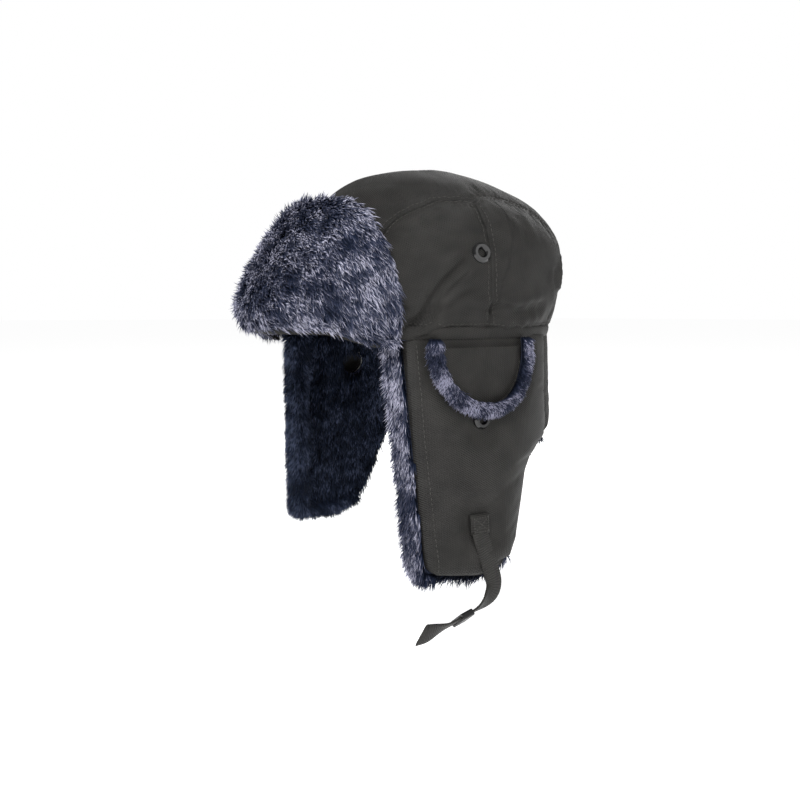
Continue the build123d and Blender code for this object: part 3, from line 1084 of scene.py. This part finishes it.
def earGrid(inset, grow, side, topZ, pitch, ahead=0.0):
    # rows of points over an ear flap, at an inset from its outside
    bottom = flap["rearEdge"][-1][0] - grow * 0.9
    rows = int((topZ - bottom) / pitch) + 1
    columns = int(0.138 / pitch) + 1
    points = []
    weave = []
    for i in range(rows):
        z = topZ + (bottom - topZ) * i / (rows - 1)
        inner = max(z, flap["rearEdge"][-1][0] + 0.0002)
        front = frontEdgeAt(inner) - grow - ahead
        rear = min(rearEdgeAt(inner) + grow, 0.0803)
        sink = max(inner - z, 0.0)
        front += sink * 0.6
        rear -= sink * 0.6
        for j in range(columns):
            share = j / (columns - 1)
            y = front + (rear - front) * share
            # the bottom edge slopes a little
            drop = (flap["bottomFrontZ"] - flap["bottomRearZ"]) * (1 - share) * smoothstep(-0.11, bottom, z)
            points.append(skirtPoint(y, z + drop, inset, side))
            weave.append((y, z))
    return points, gridFaces(rows, columns), weave, rows, columns


def facesOutward(faces, side):
    # grid faces ordered so that they look away from the head
    if side > 0:
        return [tuple(reversed(face)) for face in faces]
    return faces


def punchHole(piece, centre, radius):
    # a round hole through a grid, its edge pulled into a true circle, seen from the side
    work = bmesh.new()
    work.from_mesh(piece.data)
    lost = []
    for face in work.faces:
        middle = face.calc_center_median()
        if (middle.y - centre[0]) ** 2 + (middle.z - centre[1]) ** 2 < radius**2:
            lost.append(face)
    bmesh.ops.delete(work, geom=lost, context="FACES")
    for vertex in work.verts:
        if not vertex.is_boundary:
            continue
        away = Vector((0, vertex.co.y - centre[0], vertex.co.z - centre[1]))
        if away.length < radius * 1.5:
            moved = away.normalized() * radius
            vertex.co.y = centre[0] + moved.y
            vertex.co.z = centre[1] + moved.z
    work.to_mesh(piece.data)
    work.free()


def edgeCurl(nearest):
    # 1 at a flap's free edges, 0 well inside them
    return 1 - smoothstep(0.0, flap["edgeRound"], nearest)


def clothShift(nearest, lumps, lumpSize, ripple):
    # how far a flap's cloth moves in: tucked at its free edges, swollen inside them
    full = smoothstep(0.0, flap["swellReach"], nearest)
    swell = full * (flap["swell"] + lumpSize * lumps + flap["ripple"] * ripple)
    return edgeCurl(nearest) * flap["edgeTuck"] - swell


def bendOn(piece, body, hinge, slot, *nodes, fill=None):
    if nodes:
        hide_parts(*nodes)
    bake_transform(piece)


def furLook(count, length, rise, wander, clump, seed, width=0.0012):
    # what growFur sets on the sowing tree, sizes in metres
    return {
        "count": count,
        "Length": length,
        "Width": width,
        "Rise": rise,
        "Wander": wander,
        "Clump scale": clump,
        "Seed": seed,
    }


def makeEarFlap(sideName, side):
    body = "ear_flap_" + sideName
    hinge = (side * 0.0985, 0.0)
    pitch = flap["pitch"]
    # cloth
    points, faces, weave, rows, columns = earGrid(flap["clothInset"], 0.0006, side, 0.0015, pitch)
    tray = []
    for index, point in enumerate(points):
        i, j = divmod(index, columns)
        nearest = min(j, columns - 1 - j, rows - 1 - i) * pitch
        lumps = noise.noise(Vector((point.y * 24 + 7 * side, point.z * 24, 3.3)))
        ripple = noise.noise(Vector((point.y * 50 - point.z * 30, point.z * 40, 8.1)))
        tray.append(point + Vector((-side, 0, 0)) * clothShift(nearest, lumps, 0.0013, ripple))
    cloth = meshPiece("ear_flap_cloth_" + sideName, tray, facesOutward(faces, side), shellCloth, weave)
    punchHole(cloth, (flap["holeY"], flap["holeZ"]), flap["holeRadius"])
    settle(cloth, openEdge(cloth), flap)
    for vertex in cloth.data.vertices:
        flat = skirtPoint(vertex.co.y, vertex.co.z, -0.0001, side)
        excess = (vertex.co.x - flat.x) * side
        if excess > 0:
            vertex.co.x -= side * excess * (1 - calmAt(vertex.co.y, vertex.co.z))
    clothTree = BVHTree.FromObject(cloth, bpy.context.evaluated_depsgraph_get())
    thicken(cloth, flap["clothWall"])
    bendOn(cloth, body, hinge, "shell_cloth", "ear_flap_shell_" + sideName, fill=0.35)
    # wadding
    points, faces, weave, rows, columns = earGrid(0.0030, -0.0055, side, -0.004, pitch * 2)
    wadding = meshPiece("ear_flap_wadding_" + sideName, points, facesOutward(faces, side), waddingFluff, weave)
    punchHole(wadding, (flap["holeY"], flap["holeZ"]), flap["holeRadius"] + 0.001)
    thicken(wadding, 0.0012)
    bendOn(wadding, body, hinge, "wadding", "ear_flap_padding_" + sideName, fill=0.3)
    # pile backing and pile
    grid = earGrid(flap["pileInset"], 0.0006, side, -0.0005, pitch, flap["rollAhead"])
    points, faces, weave, rows, columns = grid
    shaped = []
    for index, point in enumerate(points):
        i, j = divmod(index, columns)
        nearest = min(j, columns - 1 - j, rows - 1 - i) * pitch
        inward = Vector((-point.x, -point.y, 0)).normalized()
        shaped.append(point + inward * (edgeCurl(nearest) * flap["edgeRound"] * 0.35))
    backing = meshPiece("ear_flap_pile_backing_" + sideName, shaped, facesOutward(faces, side), pileBacking, weave)
    thicken(backing, flap["pileWall"])
    punchHole(backing, (flap["holeY"], flap["holeZ"]), flap["holeRadius"] + 0.0005)
    bendOn(backing, body, hinge, "pile", "ear_flap_pile_" + sideName, fill=0.5)

    def innerFace(centre, normal):
        return normal.x * side < 0.35

    def combDown(place, normal):
        forward = -0.55 if place.y < -0.03 else -0.15
        return Vector((-side * 0.1, forward, -1.0))

    inner = furLook(count=11600, length=0.0105, rise=0.75, wander=1.1, clump=150.0, seed=11 if side > 0 else 12)
    pile = growFur("ear_flap_pile_tufts_" + sideName, backing, innerFace, combDown, inner, furDark)
    bendOn(pile, body, hinge, "pile")

    # longer pile that rolls round the front edge and fringes the bottom
    def edgeFace(centre, normal):
        if centre.y < frontEdgeAt(max(centre.z, -0.158)) + 0.0008:
            return True
        if normal.x * side > 0.75:
            return False
        frontBand = centre.y < frontEdgeAt(max(centre.z, -0.158)) + 0.007
        bottomBand = centre.z < -0.150
        return frontBand or bottomBand

    def combEdge(place, normal):
        if place.y < frontEdgeAt(max(place.z, -0.158)) + 0.007:
            return Vector((side * 0.25, -0.5, -0.75))
        if place.z < -0.150:
            return Vector((-side * 0.7, -0.1, -0.6))
        return Vector((-side * 0.3, 0.5, -0.8))

    edge = furLook(count=12200, length=0.0125, rise=1.0, wander=1.0, clump=130.0, seed=21 if side > 0 else 22)
    # the near flap's fringe takes the pale pile, the far flap's the darker flap pile: painted shade on the far side,
    # away from the key light
    edgeFurFarShaded = furPale if side > 0 else furDark
    fringe = growFur("ear_flap_edge_tufts_" + sideName, backing, edgeFace, combEdge, edge, edgeFurFarShaded)
    bendOn(fringe, body, hinge, "pile")
    # stitching inside the flap's edge
    laid = []
    for k in range(60):
        z = -0.006 - 0.146 * k / 59
        point = Vector((side * 0.13, frontEdgeAt(z) + 0.0065, z))
        hit = clothTree.ray_cast(point, Vector((-side, 0, 0)))
        if hit[0] is not None:
            laid.append(tuple(hit[0]))
    if len(laid) > 2:
        stitches = sewLines("ear_flap_topstitch_" + sideName, [laid], clothTree)
        bendOn(stitches, body, hinge, "shell_cloth")


print("ear flaps")
for sideName, side in (("left", 1), ("right", -1)):
    makeEarFlap(sideName, side)


# neck flap: the same three layers round the nape
nape = {"sideY": 0.0826, "bottom": -0.077, "columns": 92, "columnPitch": 0.0017, "halfSpan": 0.075, "corner": 0.007}


def backPoint(share, z, inset):
    # a point of the skirt's back, share from -1 at the right edge to 1 at the left edge
    part = (hat["skirtTop"] - z) / hat["skirtDepth"]
    wide = hat["rimHalfWidth"] + part * (hat["skirtBottomHalfWidth"] - hat["rimHalfWidth"]) - inset
    long = hat["rimHalfLength"] + part * (hat["skirtBottomHalfLength"] - hat["rimHalfLength"]) - inset
    edge = pi / 2 - asin(min(nape["sideY"] / long, 1.0))
    angle = pi / 2 - share * edge
    return Vector((wide * cos(angle), long * sin(angle), z))


def napeGrid(inset, topZ, bottomZ, pitch, narrower=0.0):
    rows = int((topZ - bottomZ) / pitch) + 1
    columns = nape["columns"]
    points = []
    weave = []
    for i in range(rows):
        z = topZ + (bottomZ - topZ) * i / (rows - 1)
        near = z - bottomZ
        radius = nape["corner"]
        cut = radius - sqrt(max(radius**2 - (radius - near) ** 2, 0.0)) if near < radius else 0.0
        for j in range(columns):
            share = (2 * j / (columns - 1) - 1) * (1 - (cut + narrower) / nape["halfSpan"])
            points.append(backPoint(share, z, inset))
            weave.append((share * nape["halfSpan"], z))
    return points, gridFaces(rows, columns), weave, rows, columns


def makeNeckFlap():
    body = "neck_flap"
    hinge = (0.0, 0.1195)
    pitch = flap["pitch"]
    points, faces, weave, rows, columns = napeGrid(flap["clothInset"], 0.0015, nape["bottom"], pitch)
    shaped = []
    for index, point in enumerate(points):
        i, j = divmod(index, columns)
        nearest = min(min(j, columns - 1 - j) * nape["columnPitch"], (rows - 1 - i) * pitch)
        inward = Vector((-point.x, -point.y, 0)).normalized()
        lumps = noise.noise(Vector((point.x * 34, point.z * 26, 1.7)))
        ripple = noise.noise(Vector((point.x * 60 + point.z * 40, point.z * 30, 5.1)))
        shaped.append(point + inward * clothShift(nearest, lumps, 0.0014, ripple))
    cloth = meshPiece("neck_flap_cloth", shaped, faces, shellCloth, weave)
    settle(cloth, openEdge(cloth), flap)
    outwards(thicken(cloth, flap["clothWall"]))
    bendOn(cloth, body, hinge, "shell_cloth", "neck_flap_shell", fill=0.35)
    grid = napeGrid(0.0022, -0.003, nape["bottom"] + 0.0035, 0.005, 0.003)
    wadding = wallOf("neck_flap_wadding", grid, waddingFluff, 0.0020)
    bendOn(wadding, body, hinge, "wadding", "neck_flap_padding", fill=0.3)
    grid = napeGrid(flap["pileInset"], -0.0005, nape["bottom"] - 0.001, pitch)
    backing = wallOf("neck_flap_pile_backing", grid, pileBacking, flap["pileWall"])
    bendOn(backing, body, hinge, "pile", "neck_flap_pile", fill=0.5)

    def innerFace(centre, normal):
        outward = Vector((centre.x, centre.y, 0)).normalized()
        return normal.dot(outward) < 0.3

    def combDown(place, normal):
        return Vector((0.1, 0.0, -1.0))

    fur = furLook(count=9500, length=0.0105, rise=0.75, wander=1.0, clump=150.0, seed=31)
    pile = growFur("neck_flap_pile_tufts", backing, innerFace, combDown, fur, furDark)
    bendOn(pile, body, hinge, "pile")


print("neck flap")
makeNeckFlap()


# ear covers: a half-round of cloth with a pile edge round it
def coverEdge(angle, grow):
    # the half-round edge: angle 0 at the front corner, pi at the rear corner
    y = cover["middleY"] - (cover["halfWidth"] + grow) * cos(angle)
    z = cover["topZ"] - (cover["depth"] - cover["trimRise"] + grow * 0.35) * sin(angle)
    return y, z


def makeEarCover(sideName, side):
    body = "ear_cover_" + sideName
    rings, spokes = 16, 72
    points = []
    weave = []
    for i in range(rings + 1):
        share = i / rings
        for j in range(spokes + 1):
            angle = pi * j / spokes
            y, z = coverEdge(angle, 0.0)
            y = cover["middleY"] + (y - cover["middleY"]) * share
            z = cover["topZ"] + (z - cover["topZ"]) * share
            puff = 0.0013 * smoothstep(0.0, 0.3, share) * (1 - smoothstep(0.8, 1.0, share))
            wave = 0.0007 * noise.noise(Vector((y * 60, z * 60, 2.0 * side)))
            points.append(skirtPoint(y, z, -(cover["gap"] + 0.0008 + puff + wave), side))
            weave.append((y, z))
    grid = points, gridFaces(rings + 1, spokes + 1), weave
    cloth = wallOf("ear_cover_cloth_" + sideName, grid, shellCloth, 0.0009, 0.0)
    rideOn(cloth, body, "shell_cloth", "ear_cover_shell_" + sideName, fill=0.3)
    # the trim's backing follows the round edge
    bands, steps = 5, 96
    points = []
    weave = []
    for i in range(bands + 1):
        grow = -0.0015 + (cover["trimWidth"] - 0.001) * i / bands
        for j in range(steps + 1):
            turn = (pi + 0.4) * j / steps - 0.2
            y, z = coverEdge(min(max(turn, 0.0), pi), grow)
            # both ends run straight up to the rim
            z += max(-turn, turn - pi, 0.0) * 0.028
            arch = sin(pi * i / bands)
            points.append(skirtPoint(y, z, -(cover["gap"] + 0.0022 + 0.001 * arch), side))
            weave.append((y, z))
    grid = points, gridFaces(bands + 1, steps + 1), weave
    trim = wallOf("ear_cover_trim_backing_" + sideName, grid, pileBacking, cover["trimBase"], 0.0)
    rideOn(trim, body, "pile", "ear_cover_trim_" + sideName, fill=0.5)

    def outerFace(centre, normal):
        clear = (centre.y - cover["snapY"]) ** 2 + (centre.z - cover["snapZ"]) ** 2 > 0.0045**2
        return normal.x * side > 0.1 and clear

    def combRound(place, normal):
        return Vector((side * 0.1, (place.y - cover["middleY"]) * 9, -0.75))

    seed = 41 if side > 0 else 42
    fur = furLook(count=6200, length=0.0066, rise=1.1, wander=1.1, clump=190.0, seed=seed, width=0.0011)
    pile = growFur("ear_cover_trim_tufts_" + sideName, trim, outerFace, combRound, fur, furTrim)
    rideOn(pile, body, "pile")
    # one row of stitches along the trim
    line = []
    for j in range(81):
        y, z = coverEdge(0.3 + (pi - 0.6) * j / 80, -0.004)
        line.append(skirtPoint(y, z, -(cover["gap"] + 0.0026), side))
    rideOn(sewLines("ear_cover_stitch_" + sideName, [line]), body, "shell_cloth")
    # and one under the rim
    line = []
    for k in range(41):
        line.append(skirtPoint(cover["middleY"] - 0.030 + 0.060 * k / 40, -0.0105, -(cover["gap"] + 0.0014), side))
    rideOn(sewLines("ear_cover_hem_" + sideName, [line]), body, "shell_cloth")


print("ear covers")
for sideName, side in (("left", 1), ("right", -1)):
    makeEarCover(sideName, side)


# visor: a turned-up pad of cloth, wadding and long pale pile on the front
visor = {
    "columns": 130,
    "rows": 60,
    "sideY": -0.065,
    "sideTop": 0.083,
    "middleTop": 0.0850,
    "middleBottom": 0.0095,
    "sideBottom": 0.001,
    "corner": 0.012,
}


def visorEdges(share):
    # bottom and top of the visor at a share of its width, -1 to 1
    away = abs(share)
    top = visor["middleTop"] + (visor["sideTop"] - visor["middleTop"]) * away**2
    bottom = visor["middleBottom"] + (visor["sideBottom"] - visor["middleBottom"]) * smoothstep(0.55, 1.0, away)
    lean = max(away - 0.86, 0.0) / 0.14
    bow = 1 - sqrt(max(1 - lean**2, 0.0))
    return bottom + visor["corner"] * 0.5 * bow, top - visor["corner"] * bow


def frontAngle(height):
    # the crown angle where it reaches the visor's side edge at a height
    wide, long, back = crownRing(max(height, 0.0))
    reach = (back - visor["sideY"]) / long
    return asin(min(max(reach, -1.0), 1.0))


def visorPoint(share, rise, lift, grow=0.0):
    # share across (-1 right, 1 left), rise 0 at the bottom to 1 at the top.
    bottom, top = visorEdges(share)
    height = bottom - grow + (top - bottom + 2 * grow) * rise
    edge = frontAngle(height)
    spread = pi / 2 - edge + grow / 0.1
    angle = -pi / 2 + share * spread
    base = crownPoint(angle, max(height, 0.0))
    ahead = crownPoint(angle + 0.01, max(height, 0.0)) - crownPoint(angle - 0.01, max(height, 0.0))
    above = crownPoint(angle, max(height, 0.0) + 0.001) - crownPoint(angle, max(height - 0.001, 0.0))
    outward = ahead.cross(above).normalized()
    if height < 0:
        base.z = height
    return base + outward * lift


def visorGrid(lift, grow, rows, columns, arch=None):
    points = []
    weave = []
    for i in range(rows):
        rise = i / (rows - 1)
        for j in range(columns):
            share = 2 * j / (columns - 1) - 1
            extra = arch(share, rise) if arch else 0.0
            points.append(visorPoint(share, rise, lift + extra, grow))
            weave.append((share * 0.12, rise * 0.095))
    return points, gridFaces(rows, columns), weave


def visorSwell(share, rise):
    # fuller in the middle, thin at its edges
    across = 1 - smoothstep(0.86, 1.0, abs(share))
    up = smoothstep(0.0, 0.10, rise) * (1 - smoothstep(0.88, 1.0, rise))
    lump = noise.noise(Vector((share * 4.0, rise * 3.0, 4.4)))
    return (0.0042 + 0.0012 * lump) * across * up


def makeVisor():
    rows, columns = 50, 90
    points = []
    weave = []
    for i in range(rows):
        rise = -0.11 + 1.10 * i / (rows - 1)
        lift = 0.0018 + 0.0014 * smoothstep(-0.11, 0.03, rise)
        for j in range(columns):
            share = (2 * j / (columns - 1) - 1) * (0.985 if rise > 0.04 else 0.93)
            points.append(visorPoint(share, rise, lift))
            weave.append((share * 0.12, rise * 0.095))
    cloth = wallOf("visor_cloth", (points, gridFaces(rows, columns), weave), shellCloth, 0.0009)
    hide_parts("visor_shell")
    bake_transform(cloth)
    wadding = wallOf("visor_wadding", visorGrid(0.0060, -0.009, 30, 60), waddingFluff, 0.0012)
    rideOn(wadding, "visor", "wadding", "visor_padding", fill=0.3)
    grid = visorGrid(0.0085, 0.001, visor["rows"], visor["columns"], visorSwell)
    backing = wallOf("visor_pile_backing", grid, pileBacking, 0.0024)
    rideOn(backing, "visor", "pile", "visor_pile", fill=0.5)

    def leftHalf(centre, normal):
        return centre.x >= 0 and outerSide(centre, normal)

    def rightHalf(centre, normal):
        return centre.x < 0 and outerSide(centre, normal)

    def outerSide(centre, normal):
        away = Vector((centre.x, centre.y - 0.01, max(centre.z, 0) * 0.35)).normalized()
        return normal.dot(away) > -0.35

    def combAcross(place, normal):
        # swept down and towards the wearer's left, fanning out at the edges
        down = 0.5 + 0.5 * smoothstep(0.03, 0.07, place.x)
        return Vector((0.78, 0.1, -down))

    for half, keep, seed in (("left", leftHalf, 51), ("right", rightHalf, 52)):
        fur = furLook(count=12200, length=0.0125, rise=0.6, wander=1.3, clump=95.0, seed=seed, width=0.0013)
        pile = growFur("visor_pile_tufts_" + half, backing, keep, combAcross, fur, furPale)
        rideOn(pile, "visor", "pile")


print("visor")
makeVisor()


# chin straps: the left strap's flat woven webbing and the patches on both flaps
strap = {
    "width": 0.013,
    "thickness": 0.0016,
    "route": [
        (0.1083, -0.0146, -0.1285),
        (0.109, -0.0141, -0.1324),
        (0.1106, -0.0112, -0.143),
        (0.1121, -0.0068, -0.157),
        (0.1131, -0.0045, -0.168),
        (0.1137, -0.0125, -0.1758),
        (0.1138, -0.0260, -0.1810),
        (0.1141, -0.0420, -0.1840),
        (0.1142, -0.0560, -0.1858),
        (0.1144, -0.0700, -0.1850),
    ],
    "turn": 50.0,
    "turnStart": 0.38,
    "turnEnd": 0.575,
    "turnBack": 42.0,
    "steps": 90,
    "tipCut": 0.007,
}


def strapLine():
    # points along the hanging strap, from a smooth curve through its route
    data = curveThrough("strapLine", "NURBS", [strap["route"]])
    setAll(data.splines[0], {"order_u": 3, "use_endpoint_u": True, "resolution_u": 24})
    holder = addObject("strapLine", data)
    mesh = liveMesh(holder)
    fine = [v.co.copy() for v in mesh.vertices]
    bpy.data.objects.remove(holder)
    bpy.data.curves.remove(data)
    bpy.data.meshes.remove(mesh)
    walked = [0.0]
    for a, b in zip(fine, fine[1:]):
        walked.append(walked[-1] + (b - a).length)
    even = []
    for k in range(strap["steps"] + 1):
        goal = walked[-1] * k / strap["steps"]
        i = max(1, next((n for n, w in enumerate(walked) if w >= goal - 1e-9), len(walked) - 1))
        part = (goal - walked[i - 1]) / max(walked[i] - walked[i - 1], 1e-9)
        even.append(fine[i - 1].lerp(fine[i], min(part, 1.0)))
    return even, walked[-1]


def ribbon(name, line, material):
    # a flat strap along a line, its face outward and turned by strapTurn(share) degrees
    width, thickness = strap["width"], strap["thickness"]
    lanes = 9
    points = []
    weave = []
    last = len(line) - 1
    profile = []
    for j in range(lanes):
        s = 2 * j / (lanes - 1) - 1
        profile.append((s, 1.0 if abs(s) < 0.95 else 0.55))
    travelled = 0.0
    for i, place in enumerate(line):
        ahead = line[min(i + 1, last)] - line[max(i - 1, 0)]
        along = ahead.normalized()
        if i:
            travelled += (place - line[i - 1]).length
        outward = Vector((1, 0, 0))
        outward = (outward - along * outward.dot(along)).normalized()
        side = along.cross(outward)
        angle = radians(strapTurn(i / last))
        facing = outward * cos(angle) - side * sin(angle)
        across = facing.cross(along)
        remain = max(0.0, 1 - (last - i) / 7.0)
        for layer in (1, -1):
            for s, full in profile if layer > 0 else reversed(profile):
                edge = across * (s * width / 2)
                slip = along * (-strap["tipCut"] * remain * (0.5 - 0.5 * s))
                rib = 0.00006 * sin(travelled * 2400)
                points.append(place + edge + slip + facing * (layer * (thickness / 2 * full + rib)))
                weave.append((s * width / 2, travelled))
    around = lanes * 2
    faces = gridFaces(last + 1, around, loop=True)
    faces.append(tuple(range(around)))
    faces.append(tuple(last * around + j for j in reversed(range(around))))
    return outwards(meshPiece(name, points, faces, material, weave))


def strapTurn(share):
    turned = strap["turn"] * smoothstep(strap["turnStart"], strap["turnEnd"], share)
    return turned - strap["turnBack"] * smoothstep(0.76, 0.96, share)


def patchPiece(name, middle, high, low, width, side):
    # the folded end of the strap, sewn flat on the flap
    rows, columns = 12, 9
    points = []
    weave = []
    for i in range(rows + 1):
        z = high + (low - high) * i / rows
        for j in range(columns + 1):
            s = 2 * j / columns - 1
            y = middle + s * width / 2
            edge = max(abs(s), abs(2 * i / rows - 1))
            puff = 0.0012 * (1 - smoothstep(0.6, 1.0, edge))
            points.append(skirtPoint(y, z, -(0.0013 + puff), side))
            weave.append((s * width / 2, z))
    return wallOf(name, (points, gridFaces(rows + 1, columns + 1), weave), webbingCloth, 0.0016, 0.0)


def boxStitch(name, middle, high, low, width, side):
    inset = 0.0018
    half = width / 2 - inset
    top, bottom = high - inset, low + inset
    corners = [(-half, top), (half, top), (half, bottom), (-half, bottom), (-half, top)]
    corners += [(half, bottom)]
    other = [(half, top), (-half, bottom)]
    lines = []
    for path in (corners, other):
        line = []
        for (y0, z0), (y1, z1) in zip(path, path[1:]):
            for k in range(6):
                t = k / 6
                line.append(skirtPoint(middle + y0 + (y1 - y0) * t, z0 + (z1 - z0) * t, -0.0034, side))
        line.append(skirtPoint(middle + path[-1][0], path[-1][1], -0.0034, side))
        lines.append(line)
    return sewLines(name, lines, pitch=0.0021, length=0.0016)


def makeStraps():
    line, length = strapLine()
    print("  left strap length", round(length, 4))
    leftStrap = ribbon("chin_strap_left_webbing", line, webbingCloth)
    rideOn(leftStrap, "chin_strap_left", "webbing", "chin_strap_left")
    # middle, top, bottom and width of the patch on each flap
    patch = (-0.014, -0.1175, -0.1305, 0.0145)
    for sideName, side in (("left", 1), ("right", -1)):
        body = "ear_flap_" + sideName
        piece = patchPiece("strap_patch_webbing_" + sideName, *patch, side)
        rideOn(piece, body, "webbing", "strap_patch_" + sideName)
        rideOn(boxStitch("strap_patch_stitch_" + sideName, *patch, side), body, "webbing")


print("straps")
makeStraps()


# hardware kept from the model: snaps, slider, ring and the right tab
def finishModelPieces():
    shown = {
        "strap_slider_left": bucklePlastic,
        "strap_ring_right": bucklePlastic,
        "chin_strap_right": webbingCloth,
    }
    for part in ("crown", "flap"):
        for shape in ("ring", "prong"):
            for sideName in ("left", "right"):
                shown[f"{part}_snap_{shape}_{sideName}"] = snapEnamel
    for item in bpy.data.objects:
        for node, material in shown.items():
            if item.type == "MESH" and (item.name == node or item.name.startswith(node + ".")):
                for holder in item.material_slots:
                    holder.link = "OBJECT"
                    holder.material = material


finishModelPieces()

bpy.data.objects.remove(crownSkin)
bpy.data.objects.remove(tuft)
